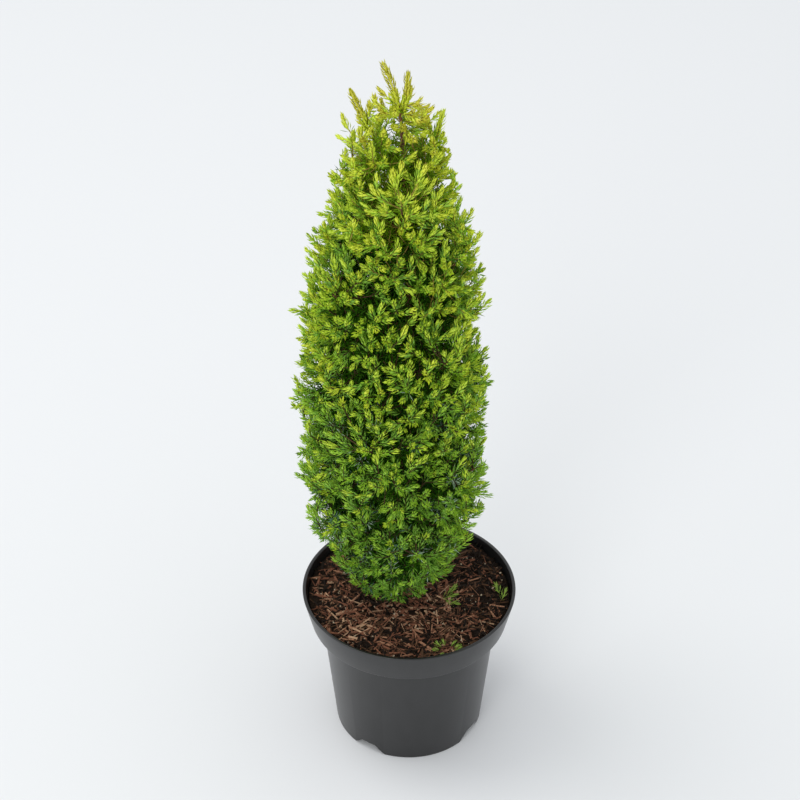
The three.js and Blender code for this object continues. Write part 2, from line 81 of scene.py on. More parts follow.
# Soil
SOIL_EDGE_Z = 140
SOIL_EDGE_RADIUS = 89.6
SOIL_PAD_Z = 142
SOIL_PAD_RADIUS = 18
SOIL_BUMP = 1.6
SOIL_WAVE_X = 48
SOIL_WAVE_Y = 57
COMPOST_RINGS = 60
COMPOST_SIDES = 150
CLOD_HEIGHT = 1.3
CLOD_PITCH = 0.16
CRUMB_HEIGHT = 0.7
CRUMB_PITCH = 0.5
CRUMB_PLANE = 5
SKIRT_SHARE = 0.96
SKIRT_DEPTH = 8

# Slivers of bark and grit on the soil: each size is the range of lengths, of widths and of heights
MULCH_SEED = 11
CHIP_COUNT = 1900
CHIP_SIZE = ((4, 21), (0.7, 2.5), (0.6, 1.4))
CHIP_SHARES = (0.4, 0.24, 0.2, 0.11, 0.05)
CHIP_SHADE = 0.6
FIBRE_COUNT = 1300
FIBRE_SIZE = ((9, 30), (0.4, 0.9), (0.4, 0.8))
GRIT_COUNT = 150
GRIT_SIZE = ((1.2, 2.6), (0.9, 1.8), (0.8, 1.4))
SLIVER_EDGE_GAP = 3
SLIVER_OVERHANG = 4
SLIVER_SPREAD = (0.01, 1)
SLIVER_SHORTENING = (0.5, 1)
SLIVER_LIFT = (0.2, 2.4)
SLIVER_PITCH = 0.16
SLIVER_ROLL = 0.3
LENGTH_WEAR = (0.7, 1.1)
WIDTH_WEAR = (0.35, 1.1)
HEIGHT_WEAR = (0.6, 1.1)
PATCH_PITCH = 0.035
PATCH_CONTRAST = 0.4
# Painted shade on the soil: slivers turn darker near the pot's wall and at the back right, under the crown
RIM_PAINTED_SHADE = 0.3
RIM_SHADE_SHARPNESS = 4
BACK_PAINTED_SHADE = 0.3

# Fallen shoots on the soil, by place and compass angle, and a tuft of small ones at the pot's front
FALLEN_SEED = 5
FALLEN_SPRIGS = ((28, -14, 0.3), (30, -17, -0.4), (33, -9, 0.9), (81, -16, 1.2), (82, -8, 1.9))
FALLEN_LENGTH = 16
FALLEN_BOW = 0.02
LYING_HEIGHT = 3.5
LYING_BEND = 1.2
LYING_TIP = 2.2
TUFT_COUNT = 9
TUFT_X = 32
TUFT_Y = -77
TUFT_WIDTH = 5
TUFT_DEPTH = 3
TUFT_TURN = 2.4
TUFT_LENGTH = 8

# Trunk
TRUNK_FOOT_X = -4
TRUNK_FOOT_Z = SOIL_PAD_Z + CLEARANCE
TRUNK_TIP_Z = 604
TRUNK_LENGTH = TRUNK_TIP_Z - TRUNK_FOOT_Z
TRUNK_LEAN = -3
TRUNK_BOW = 5
TRUNK_SWAY = 2.5
TRUNK_FOOT_RADIUS = 5.2
TRUNK_TIP_RADIUS = 1.3
FLARE_WIDTH = 3.4
FLARE_HEIGHT = 12

# Crown outline
CROWN_X = -10
CROWN_BOW = -5
CROWN_BOTTOM_Z = 143
CROWN_WIDEST_Z = 300
CROWN_TOP_Z = 656
CROWN_RADIUS = 80
CROWN_LUMP = 0.035
WIDE_LUMPS = 2
WIDE_LUMP_PITCH = 18
SMALL_LUMPS = 3
SMALL_LUMP_PITCH = 11
LOW_SHOULDER = 1.8
LOW_POINT = 0.5
HIGH_SHOULDER = 2
HIGH_POINT = 0.75
SOIL_SPACE = 4

# Foot of the crown: how low the tips reach from left to right
FOOT_X = (-30, -8, 40)
FOOT_Z = (146, 166, 184)

# Boughs and the stems that carry their masses
BOUGH_COUNT = 20
FIRST_BOUGH_Z = 148
LAST_BOUGH_Z = 556
LOW_CROWDING = 1.25
LAST_BOUGH_ANGLE = math.pi
LOW_CLIMB = 30
HIGH_CLIMB = 78
BEND_OUT = 0.55
BEND_UP = 0.3
STEM_OVERSHOOT = 14
BOUGH_SHARE = 0.3
LOW_BOUGH_RADIUS = 2.2
HIGH_BOUGH_RADIUS = 1.2
BOUGH_TAPER = 1.25
STEM_END = 0.85
BARE_STEM_END = 0.6
LEADER_TIP = np.array([-21.0, 0.0, 655.0])
TWIN_TIP = np.array([-2.0, 0.0, 647.0])
TWIN_FROM = 0.12
TWIN_UPRIGHT = 0.6
LONE_SPIKE_LEAN = (-6, 0, 0)
LEADER_BOW = 4
LEADER_RADIUS = 4
LEADER_TAPER = 1.1
LEADER_BARK_RADIUS = 1.3
LEADER_BARK_END = 0.3
TRUNK_SAMPLES = 301
LIMB_SAMPLES = 25

# Bark relief on trunk and boughs
TRUNK_STEPS = 260
TRUNK_SIDES = 28
TRUNK_RELIEF = 0.5
FOOT_CROWDING = 1.3
BOUGH_STEPS = 40
BOUGH_SIDES = 10
BOUGH_RELIEF = 0.22
RIDGE_TURNS = 3
RIDGE_SPREAD = 2.2
RIDGE_PITCH = 0.05
RIDGE_SCALE = 1.6
GRAIN_PITCH = 0.35
GRAIN_SHARE = 0.5

# Sprays by the growing rule of the source
LOW_CENTRE_SHARE = 0.45
HIGH_CENTRE_SHARE = 0.75
LEADER_CENTRE_SHARE = 0.5
FIRST_SEED = 1000
SPRAY_TRIES = 240
FULL_SPRAY = 34
SHORTEST_SPRAY = 15
SLIM_SHARE = 0.5
SPRAY_STEP = 0.05
TIP_SPACING = 19
LEADER_TIP_SPACING = 11
TIP_INNERMOST = 0.82
TIP_SCATTER = 0.12
TIP_SPRAY_FROM = 0.55
TIP_SPRAY_SLACK = 8
TWIG_TOP_Z = 628
FIRST_TWIG = (0.05, 0.09)
TWIG_STEP = 0.04
TWIG_SLOPE = 0.6
LOW_WHORL_BACK = 15
LOW_WHORL_RADIUS = 6.5
HIGH_WHORL_BACK = 5.5
HIGH_WHORL_RADIUS = 4.2
WHORL_NEEDLES = 3
SPACE_MARGIN = 0.4
LIMB_MARGIN = 0.6
LONGEST_RUN = 90

# How steeply tips point at a share of the crown's height
TIP_ANGLE_HEIGHTS = (0, 0.8, 1)
TIP_ANGLES = (math.radians(42), math.radians(64), math.radians(84))
ANGLE_SCATTER = 0.28
COMPASS_SCATTER = 0.6
TIP_LEAD = 0.45
SPIKE_LEAD = 0.4

# Side shoots that fan out from the sprays
FIRST_SIDE = 5
FIRST_SPIKE_SIDE = 24
SIDE_SPAN = 29
SIDE_LOWEST = 0.85
SIDE_STEP = 4.8
SIDE_JITTER = 1
SIDE_ANGLES = (math.radians(30), math.radians(54))
SIDE_LENGTH = 10
SIDE_GROWTH = 0.45
SIDE_SCATTER = (0.8, 1.2)
SIDE_FORWARD = 0.5
SIDE_SPACING = 5.8
SIDE_SLACK = 6
STRAY_SHARE = 0.16
STRAY_STRETCH = 1.6
STRAY_SLACK = 13
SLACK_HEIGHTS = (0.42, 0.6)
SLACK_SHARES = (0.3, 1)
UPTURN = 0.5

# Fill-in twigs and the darker ones inside
SPACING_HEIGHTS = (0, 0.5, 0.78, 0.95)
SPACING_SHARES = (1.28, 1.12, 1.12, 1.4)
BRANCHING_SPAN = (0.15, 0.85)
BRANCHING_PLACES = 12
STEM_PLACES = 20
FILL_TURN = 0.5
FILL_TRIES = 1100
FILL_SPACING = 8
FILL_INNERMOST = 0.78
FILL_SHARES = (0.8, 1)
INNER_TRIES = 1300
INNER_SPACING = 6
INNER_SHARES = (0.3, 1)
INNER_OUTERMOST = (0.86, 0.72)
INNER_TOP_Z = 596
SHORTEST_SHOOT = 8
LONGEST_SHOOT = 42
IDEAL_SHOOT = 20
LENGTH_COST = 0.6
TURN_COST = 1.5

# How gold the shoots are at a share of the crown's height, and how that deals out the colours
FOLIAGE_SEED = 31
GOLD_HEIGHTS = (0, 0.35, 0.55, 0.75, 0.88, 1)
GOLD_SHARES = (0.1, 0.3, 0.44, 0.44, 0.66, 1)
GOLD_SCATTER = 0.08
OWN_GOLD = 0.6
SHADE_FADE = 0.6
FULL_LIGHT = 0.95
NEW_PICK = 1.0
GROWN_PICK = 1.28
OLD_PICK = 0.9
OLD_PICK_SCATTER = 0.1
SHADE_PICK = 0.58
SHADE_PULL = 1.5
# Above this share of the crown's height the inner twigs are dealt olive: painted light inside the top of the
# crown
PAINTED_LIGHT_HEIGHT = 0.75
BLOOM_FALL = 1.7
YOUNG_WOOD_RISE = 0.75

# Needles; a brush is the fresh part at a twig's end
BRUSH_LENGTH = 15.5
SPRAY_BRUSH = (0.8, 1.3)
SIDE_BRUSH = (0.65, 1.0)
FILL_BRUSH = (0.7, 1.2)
SPIKE_BRUSH = 44
SPIKE_RISE = 0.9
SPIKE_STEP = 0.9
SPIKE_WIDTH = 1.7
SPIKE_CLOSENESS = 0.8
BRUSH_STEPS = (2.4, 1.9)
OLD_STEP = 2.4
OLD_SPAN = 30
LEAST_OLD_WOOD = 1
WHORL_JITTER = 0.3
NEEDLE_LENGTH = 7.6
TIP_NEEDLE_LENGTH = 5.6
TIP_OVERHANG = 0.8
OLD_NEEDLE_LENGTH = 7.6
LOW_NEEDLE_SHARE = 0.96
GROWN_BACKS = (0, 5, 10)
GROWN_LENGTHS = (TIP_NEEDLE_LENGTH, NEEDLE_LENGTH, NEEDLE_LENGTH * LOW_NEEDLE_SHARE)
LENGTH_SCATTER = (0.86, 1.1)
EACH_LENGTH = (0.9, 1.1)
NEEDLE_WIDTH = 1.6
WIDTH_SHARES = (0.86, 1.2)
OLD_NEEDLE_WIDTH = 1.1
SPREAD_BACKS = (0, 3, 8, 14)
SPREAD_DEGREES = (7, 16, 26, 36)
OLD_SPREAD_DEGREES = (48, 76)
OPENNESS = (1.22, 0.82)
SPREAD_SCATTER = 0.13
TURN_SCATTER = 0.12
NEEDLE_KEEL = 0.28
NEEDLE_BOW = 0.07
NEEDLE_BELLY = 0.56
NEEDLE_START = 0.25
NEEDLE_CORNERS = 5
NEW_SHARE = 0.56
NEW, GROWN, OLD = 0, 1, 2
BARE_BASE = 3
LINE_POINTS = 25

# Wood of the twigs
TWIG_POINTS = 5
TWIG_END = 0.96
TWIG_SIDES = 3
TWIG_RADIUS = 0.3
TWIG_THICKENING = 0.009
TWIG_TAPER = (1.0, 0.5)

# Floor
FLOOR_RADIUS = 6000
FLOOR_SIDES = 96

# Camera, from the fit to the pot's rim, collar and base
CAMERA_PLACE = (-8.1, -1206.7, 1217.6)
CAMERA_DIRECTION = (0, 0.81259, -0.58283)
LENS_MM = 81
SENSOR_MM = 36


def srgb(red, green, blue):
    """A colour as seen, as the linear values that a shader takes."""
    def linear(value):
        value /= 255
        return value / 12.92 if value <= 0.04045 else ((value + 0.055) / 1.055) ** 2.4
    return (linear(red), linear(green), linear(blue), 1.0)


# Colours of the sprays, from the gold of the top to the green of the foot
FRESH_GREENS = {
    "gold": srgb(202, 200, 58),
    "straw": srgb(210, 218, 60),
    "lime": srgb(207, 222, 60),
    "leaf": srgb(191, 217, 58),
    "grass": srgb(154, 197, 52),
    "moss": srgb(122, 171, 52),
}
OLD_GREENS = {
    "olive": srgb(106, 142, 14),
    "bottle": srgb(58, 104, 8),
    "deep": srgb(28, 70, 8),
}
SHADE_GREENS = {
    "fern": srgb(54, 100, 8),
    "ivy": srgb(42, 86, 8),
    "shade": srgb(28, 70, 8),
}
BLOOM_GREYS = {
    "pale": srgb(160, 182, 158),
    "slate": srgb(96, 126, 108),
}
TWIG_BROWNS = {
    "old": srgb(84, 60, 38),
    "young": srgb(164, 142, 66),
}
CHIP_BROWNS = {
    "dark": srgb(32, 22, 14),
    "umber": srgb(84, 59, 41),
    "russet": srgb(134, 88, 66),
    "cedar": srgb(168, 122, 94),
    "tan": srgb(198, 160, 128),
}


# Small sums on rows of points
def unit(vectors):
    return vectors / np.maximum(np.linalg.norm(vectors, axis=-1, keepdims=True), 1e-9)


def between(low, high, share):
    return low + (high - low) * share


def bezier(line, t):
    t = np.asarray(t, float)[..., None]
    return (1 - t) ** 2 * line[0] + 2 * t * (1 - t) * line[1] + t ** 2 * line[2]


def bezier_direction(line, t):
    t = np.asarray(t, float)[..., None]
    return unit((1 - t) * (line[1] - line[0]) + t * (line[2] - line[1]))


def cross_directions(tangents):
    """Two directions square to each tangent and to each other, the first one level where it leans."""
    least_lean = 0.2
    sides = np.stack([-tangents[..., 1], tangents[..., 0], np.zeros(tangents.shape[:-1])], -1)
    upright = np.linalg.norm(sides, axis=-1) < least_lean
    sides[upright] = (0, 1, 0)
    sides -= tangents * np.sum(sides * tangents, -1, keepdims=True)
    sides = unit(sides)
    return sides, np.cross(tangents, sides)


def dice(seed):
    """A repeatable run of numbers from 0 to 1, rolled as the source rolls them."""
    state = seed & WORD

    def roll():
        nonlocal state
        state = (state + 0x6D2B79F5) & WORD
        mixed = ((state ^ (state >> 15)) * (state | 1)) & WORD
        mixed ^= (mixed + (mixed ^ (mixed >> 7)) * (mixed | 61)) & WORD
        return (mixed ^ (mixed >> 14)) / 2 ** 32

    return roll


# The growing plan: trunk, boughs, stems and the space of each mass
def trunk_point(t):
    t = np.asarray(t, float)
    x = TRUNK_FOOT_X + TRUNK_LEAN * t + TRUNK_BOW * np.sin(np.pi * t)
    y = TRUNK_SWAY * np.sin(2 * np.pi * t)
    return np.stack([x, y, between(TRUNK_FOOT_Z, TRUNK_TIP_Z, t)], -1)


def trunk_at(z):
    return trunk_point((z - TRUNK_FOOT_Z) / TRUNK_LENGTH)


def trunk_radius(t):
    flare = FLARE_WIDTH * np.exp(-t * TRUNK_LENGTH / FLARE_HEIGHT)
    return between(TRUNK_FOOT_RADIUS, TRUNK_TIP_RADIUS, t) + flare


def crown_height(z):
    """0 at the foot of the crown and 1 at its top."""
    return (z - CROWN_BOTTOM_Z) / (CROWN_TOP_Z - CROWN_BOTTOM_Z)


def crown_x(z):
    return CROWN_X + CROWN_BOW * np.sin(np.pi * crown_height(z))


def crown_radius(z):
    z = np.clip(np.asarray(z, float), CROWN_BOTTOM_Z, CROWN_TOP_Z)
    down = np.clip((CROWN_WIDEST_Z - z) / (CROWN_WIDEST_Z - CROWN_BOTTOM_Z), 0, 1)
    up = np.clip((z - CROWN_WIDEST_Z) / (CROWN_TOP_Z - CROWN_WIDEST_Z), 0, 1)
    low = (1 - down ** LOW_SHOULDER) ** LOW_POINT
    high = (1 - up ** HIGH_SHOULDER) ** HIGH_POINT
    return CROWN_RADIUS * low * high


def outline_at(places):
    """The outline's distance from the crown's axis, with the low swells that wind round the crown."""
    angle = np.arctan2(places[..., 1], places[..., 0] - crown_x(places[..., 2]))
    wide = np.sin(WIDE_LUMPS * angle + places[..., 2] / WIDE_LUMP_PITCH)
    small = np.sin(SMALL_LUMPS * angle - places[..., 2] / SMALL_LUMP_PITCH)
    return crown_radius(places[..., 2]) * (1 + CROWN_LUMP * (wide + small))


def crown_distance(places):
    return np.hypot(places[..., 0] - crown_x(places[..., 2]), places[..., 1])


def outline_reach(angle, z):
    """How far the outline stands from the trunk's line in one compass direction."""
    foot = trunk_at(min(z, TRUNK_TIP_Z))
    off_x = foot[0] - crown_x(z)
    along = off_x * math.cos(angle) + foot[1] * math.sin(angle)
    inside = along ** 2 - (off_x ** 2 + foot[1] ** 2 - float(crown_radius(z)) ** 2)
    return math.sqrt(inside) - along if inside > 0 else 0.0


def bough_line(rise):
    index = round(rise * (BOUGH_COUNT - 1))
    angle = LAST_BOUGH_ANGLE - (BOUGH_COUNT - 1 - index) * GOLDEN_ANGLE
    outward = np.array([math.cos(angle), math.sin(angle), 0])
    foot_z = between(FIRST_BOUGH_Z, LAST_BOUGH_Z, rise ** LOW_CROWDING)
    climb = between(LOW_CLIMB, HIGH_CLIMB, rise)
    reach = outline_reach(angle, foot_z + climb) + STEM_OVERSHOOT * rise
    foot = trunk_at(foot_z)
    up = np.array([0, 0, climb])
    return np.array([foot, foot + BEND_OUT * reach * outward + BEND_UP * up, foot + reach * outward + up])


def bough_radius(rise, t):
    return between(LOW_BOUGH_RADIUS, HIGH_BOUGH_RADIUS, rise) * (BOUGH_TAPER - t)


def bough_mass(index):
    rise = index / (BOUGH_COUNT - 1)
    line = bough_line(rise)
    step = 0.01
    speed = np.linalg.norm(bezier(line, BOUGH_SHARE + step) - bezier(line, BOUGH_SHARE)) / step
    centre_share = between(LOW_CENTRE_SHARE, HIGH_CENTRE_SHARE, rise)
    return SimpleNamespace(
        node=f"foliage_{index + 1:02d}", rise=rise, line=line, start=BOUGH_SHARE + CLEARANCE / speed,
        centre=bezier(line, centre_share), overshoot=STEM_OVERSHOOT * rise, spacing=TIP_SPACING,
        spikes=[(bezier(line, TIP_SPRAY_FROM), line[2])], seed=FIRST_SEED + index)


def leader_mass():
    foot = trunk_point(1.0) + (0, 0, CLEARANCE)
    bend = between(foot, LEADER_TIP, 0.5) + (LEADER_BOW, 0, 0)
    line = np.array([foot, bend, LEADER_TIP])
    spikes = [(bezier(line, TIP_SPRAY_FROM), LEADER_TIP), (bezier(line, TWIN_FROM), TWIN_TIP)]
    return SimpleNamespace(
        node="foliage_leader", rise=1.0, line=line, start=0.0, centre=bezier(line, LEADER_CENTRE_SHARE),
        overshoot=STEM_OVERSHOOT, spacing=LEADER_TIP_SPACING, spikes=spikes, seed=FIRST_SEED + BOUGH_COUNT)


masses = [bough_mass(index) for index in range(BOUGH_COUNT)] + [leader_mass()]
leader = masses[-1]


def limb_samples():
    """Points along every limb and the leader's stem with the radius there and the mass that may touch it."""
    t = np.linspace(0, 1, TRUNK_SAMPLES)
    places, radii = [trunk_point(t)], [trunk_radius(t)]
    t = np.linspace(0, BOUGH_SHARE, LIMB_SAMPLES)
    for mass in masses[:BOUGH_COUNT]:
        places.append(bezier(mass.line, t))
        radii.append(bough_radius(mass.rise, t))
    limbs = sum(map(len, places))
    t = np.linspace(0, 1, LIMB_SAMPLES)
    places.append(bezier(leader.line, t))
    radii.append(LEADER_RADIUS * (LEADER_TAPER - t))
    owners = np.array(["limb"] * limbs + [leader.node] * len(t))
    return np.concatenate(places), np.concatenate(radii), owners


limb_places, limb_radii, limb_owners = limb_samples()


def clear_of_limbs(places, widths, mass):
    """Whether balls keep off every limb but the stem of their own mass."""
    kept = limb_owners != mass.node
    gaps = np.linalg.norm(places[:, None] - limb_places[kept], axis=-1) - limb_radii[kept]
    return bool(np.all(gaps.min(1) > widths + LIMB_MARGIN))


def in_space(places, mass, overshoot=0.0):
    """Which places are nearer to this mass's centre than to any other, and inside the outline."""
    z = places[..., 2]
    inside = (z >= SOIL_PAD_Z + SOIL_SPACE) & (z <= CROWN_TOP_Z)
    inside &= crown_distance(places) <= outline_at(places) + overshoot
    own = np.sum((places - mass.centre) ** 2, -1)
    for other in masses:
        if other is mass:
            continue
        span = np.linalg.norm(other.centre - mass.centre)
        beyond = np.sum((places - other.centre) ** 2, -1) - own
        inside &= beyond / (2 * span) > SPACE_MARGIN
    return inside


def above_foot(tips):
    """Which tips are over the slanting foot of the crown, where the soil shows at the right."""
    return tips[..., 2] >= np.interp(tips[..., 0], FOOT_X, FOOT_Z)


def spiral_directions(count, turned_by):
    k = np.arange(count)
    z = 1 - (2 * k + 1) / count
    turn = k * GOLDEN_ANGLE + turned_by
    level = np.sqrt(1 - z * z)
    return np.stack([level * np.cos(turn), level * np.sin(turn), z], -1)


def free_runs(mass, directions):
    """How far a straight line runs each way from the mass's centre before it leaves the mass's space."""
    steps = np.arange(1, LONGEST_RUN + 1)
    places = mass.centre + directions[:, None] * steps[:, None]
    inside = in_space(places, mass)
    return np.where(inside.all(1), LONGEST_RUN, np.argmin(inside, 1))


# Sprays: the main twigs of a mass
def spray_fits(root, tip, mass, overshoot, fullness, spin):
    reach = np.linalg.norm(root - tip)
    back = (root - tip) / reach
    size = fullness * min(1, reach / FULL_SPRAY)
    side, other = cross_directions(back[None])
    corners = [root, tip]
    for k in range(WHORL_NEEDLES):
        turn = spin + k * 2 * math.pi / WHORL_NEEDLES
        for extra, far, radius in ((0, LOW_WHORL_BACK, LOW_WHORL_RADIUS),
                                   (math.pi / WHORL_NEEDLES, HIGH_WHORL_BACK, HIGH_WHORL_RADIUS)):
            across = math.cos(turn + extra) * side[0] + math.sin(turn + extra) * other[0]
            corners.append(tip + size * (far * back + radius * across))
    if not in_space(np.array(corners), mass, overshoot).all():
        return False
    whorl_share = 1 - LOW_WHORL_BACK / max(FULL_SPRAY, reach)
    shares = np.arange(0, 1 + SPRAY_STEP / 2, SPRAY_STEP)
    widths = fullness * LOW_WHORL_RADIUS * np.minimum(shares / whorl_share, 1)
    return clear_of_limbs(root + (tip - root) * shares[:, None], widths, mass)


def twig_root(mass, start, tip):
    """The place on a stem from which a twig rises to its tip at about the usual slope."""
    places = bezier(mass.line, np.arange(start, STEM_END, TWIG_STEP))
    level = np.hypot(tip[0] - places[:, 0], tip[1] - places[:, 1])
    miss = np.abs(tip[2] - places[:, 2] - TWIG_SLOPE * level)
    return places[np.argmin(miss)]


def spray_grows(root, tip, mass, overshoot, spin):
    """Whether a full spray fits, or a slim one."""
    return any(spray_fits(root, tip, mass, overshoot, share, spin) for share in (1, SLIM_SHARE))


def grow_sprays(mass):
    """The mass's spikes and sprays that fit, and where its stem ends."""
    roll = dice(mass.seed)
    slack = mass.overshoot + TIP_SPRAY_SLACK
    mass.spikes = [spike for spike in mass.spikes if spray_grows(*spike, mass, slack, 0)]
    mass.stem_end = STEM_END if mass.spikes else BARE_STEM_END
    mass.sprays = []
    directions = spiral_directions(SPRAY_TRIES, mass.seed)
    for direction, run in zip(directions, free_runs(mass, directions)):
        tip = mass.centre + direction * run * (1 - TIP_SCATTER * roll())
        root = twig_root(mass, mass.start + between(*FIRST_TWIG, roll()), tip)
        spin = 2 * math.pi * roll()
        if crown_distance(tip) < TIP_INNERMOST * outline_at(tip) or tip[2] > TWIG_TOP_Z:
            continue
        if np.linalg.norm(root - tip) < SHORTEST_SPRAY:
            continue
        if any(np.linalg.norm(other - tip) < mass.spacing for _, other in mass.spikes + mass.sprays):
            continue
        if spray_grows(root, tip, mass, mass.overshoot, spin):
            mass.sprays.append((root, tip))


for grown_mass in masses:
    grow_sprays(grown_mass)

# The last bough's stem ends in the lone spike; both lean out a little further than their solid
lone_stem = masses[BOUGH_COUNT - 1].line
lone_stem[2] += LONE_SPIKE_LEAN


def tip_direction(tip, rng):
    """Which way a twig points at its tip: outwards low down, steeper with height, upright at the top."""
    angle = np.interp(crown_height(tip[2]), TIP_ANGLE_HEIGHTS, TIP_ANGLES)
    angle += rng.normal(0, ANGLE_SCATTER)
    compass = math.atan2(tip[1], tip[0] - crown_x(tip[2])) + rng.normal(0, COMPASS_SCATTER)
    level = math.cos(angle)
    return np.array([level * math.cos(compass), level * math.sin(compass), math.sin(angle)])


def twig_line(root, tip, way):
    """A twig from its root to its tip, where it points the given way."""
    return np.array([root, tip - way * TIP_LEAD * np.linalg.norm(tip - root), tip])


# Shoots: the finer twigs that branch off the sprays
def branch_root(places, tip, way):
    """The best place on older twigs for a shoot to this tip, or nothing where none is in reach."""
    spans = tip - places
    reaches = np.linalg.norm(spans, axis=1)
    aim = unit(spans) @ way
    cost = LENGTH_COST * np.abs(reaches - IDEAL_SHOOT) / IDEAL_SHOOT + TURN_COST * (1 - aim)
    cost[(reaches < SHORTEST_SHOOT) | (reaches > LONGEST_SHOOT)] = np.inf
    best = int(np.argmin(cost))
    return places[best] if np.isfinite(cost[best]) else None


def spike_line(mass, tip):
    """A spike carries on the way its stem grows there; the twin leader leaves it and turns upright."""
    share = TWIN_FROM if mass is leader else TIP_SPRAY_FROM
    root = bezier(mass.line, share)
    reach = np.linalg.norm(tip - root)
    if tip is TWIN_TIP:
        return np.array([root, tip - (0, 0, TWIN_UPRIGHT * reach), tip])
    return np.array([root, root + bezier_direction(mass.line, share) * SPIKE_LEAD * reach, tip])


def side_shoots(line, first, rng):
    """Shoots that fan out round the upper part of a twig, and how far each may pass the outline."""
    length = np.linalg.norm(line[2] - line[0])
    backs = np.arange(first, min(first + SIDE_SPAN, SIDE_LOWEST * length), SIDE_STEP)
    count = len(backs)
    shares = 1 - (backs + rng.uniform(-SIDE_JITTER, SIDE_JITTER, count)) / length
    places, ways = bezier(line, shares), bezier_direction(line, shares)
    side, other = cross_directions(ways)
    turn = rng.uniform(0, 2 * np.pi) + np.arange(count) * GOLDEN_ANGLE
    lean = rng.uniform(*SIDE_ANGLES, count)[:, None]
    radial = np.cos(turn)[:, None] * side + np.sin(turn)[:, None] * other
    leaving = np.cos(lean) * ways + np.sin(lean) * radial
    stray = rng.uniform(size=count) < STRAY_SHARE
    stretch = np.where(stray, STRAY_STRETCH, 1)
    reach = (SIDE_LENGTH + SIDE_GROWTH * backs) * rng.uniform(*SIDE_SCATTER, count) * stretch
    half = 0.5 * reach[:, None]
    bends = places + half * leaving
    tips = bends + half * unit(leaving + SIDE_FORWARD * ways + (0, 0, UPTURN))
    slack = np.where(stray, STRAY_SLACK, SIDE_SLACK)
    slack = slack * np.interp(crown_height(tips[:, 2]), SLACK_HEIGHTS, SLACK_SHARES)
    return np.stack([places, bends, tips], 1), slack


class Twigs:
    """The twigs of one mass, kept apart at their tips."""

    def __init__(self, mass):
        self.mass = mass
        self.tips = []
        self.outer = []
        self.inner = []

    def crowded(self, tip, spacing):
        """Whether another tip is too close; low down and at the top the shoots stand wider apart."""
        wanted = spacing * np.interp(crown_height(tip[2]), SPACING_HEIGHTS, SPACING_SHARES)
        return bool(self.tips) and np.min(np.linalg.norm(np.array(self.tips) - tip, axis=1)) < wanted

    def branch(self, places, tip, spacing, rng):
        """A twig to this tip from the best of the places, or nothing where it is crowded or out of reach."""
        way = tip_direction(tip, rng)
        root = None if self.crowded(tip, spacing) else branch_root(places, tip, way)
        return None if root is None else twig_line(root, tip, way)

    def add(self, line, gold, brush, is_spike=False):
        self.tips.append(line[2])
        self.outer.append(SimpleNamespace(line=line, gold=gold, brush=brush, is_spike=is_spike))

    def add_sprig(self, line, brush, rng, is_spike=False):
        """A twig with the side shoots that stay in the mass's space."""
        gold = goldness(line[2], rng)
        self.add(line, gold, brush, is_spike)
        shoots, slack = side_shoots(line, FIRST_SPIKE_SIDE if is_spike else FIRST_SIDE, rng)
        if not len(shoots):
            return
        fits = in_space(shoots[:, 2], self.mass, slack) & (shoots[:, 2, 2] < TWIG_TOP_Z)
        fits &= above_foot(shoots[:, 2])
        for shoot in shoots[fits]:
            if not self.crowded(shoot[2], SIDE_SPACING):
                own_gold = goldness(shoot[2], rng)
                self.add(shoot, between(gold, own_gold, OWN_GOLD), BRUSH_LENGTH * rng.uniform(*SIDE_BRUSH))


def fill_tips(mass, tries, shares, rng):
    """Places over the crown's foot that are spread through a mass's space, part of the way to its bounds."""
    directions = spiral_directions(tries, mass.seed + FILL_TURN)
    runs = free_runs(mass, directions) * rng.uniform(*shares, tries)
    tips = mass.centre + directions * runs[:, None]
    return tips[above_foot(tips)]


def add_main_twigs(twigs, rng):
    """The spikes and sprays of the source, with side shoots."""
    mass = twigs.mass
    is_high = mass.rise > SPIKE_RISE
    for _, tip in mass.spikes:
        twigs.add_sprig(spike_line(mass, tip), SPIKE_BRUSH if is_high else BRUSH_LENGTH, rng, is_high)
    for root, tip in mass.sprays:
        if above_foot(tip):
            line = twig_line(root, tip, tip_direction(tip, rng))
            twigs.add_sprig(line, BRUSH_LENGTH * rng.uniform(*SPRAY_BRUSH), rng)


def branching_places(twigs):
    """Where more twigs may leave the stem and the main twigs."""
    mass = twigs.mass
    shares = np.linspace(*BRANCHING_SPAN, BRANCHING_PLACES)
    stem_places = bezier(mass.line, np.linspace(mass.start, mass.stem_end, STEM_PLACES))
    return np.concatenate([stem_places] + [bezier(twig.line, shares) for twig in twigs.outer])


def add_fill_twigs(twigs, places, rng):
    """Twigs with side shoots in the gaps near the outline."""
    for tip in fill_tips(twigs.mass, FILL_TRIES, FILL_SHARES, rng):
        if crown_distance(tip) < FILL_INNERMOST * outline_at(tip) or tip[2] > TWIG_TOP_Z:
            continue
        line = twigs.branch(places, tip, FILL_SPACING, rng)
        if line is not None:
            twigs.add_sprig(line, BRUSH_LENGTH * rng.uniform(*FILL_BRUSH), rng)


def add_inner_twigs(twigs, places, rng):
    """Plain twigs that close the view into the crown."""
    for tip in fill_tips(twigs.mass, INNER_TRIES, INNER_SHARES, rng):
        outermost = between(*INNER_OUTERMOST, crown_height(tip[2])) * outline_at(tip)
        if crown_distance(tip) > outermost or tip[2] > INNER_TOP_Z:
            continue
        line = twigs.branch(places, tip, INNER_SPACING, rng)
        if line is not None:
            twigs.inner.append(line)
            twigs.tips.append(tip)


def grow_twigs(mass, rng):
    twigs = Twigs(mass)
    add_main_twigs(twigs, rng)
    places = branching_places(twigs)
    add_fill_twigs(twigs, places, rng)
    add_inner_twigs(twigs, places, rng)
    return twigs


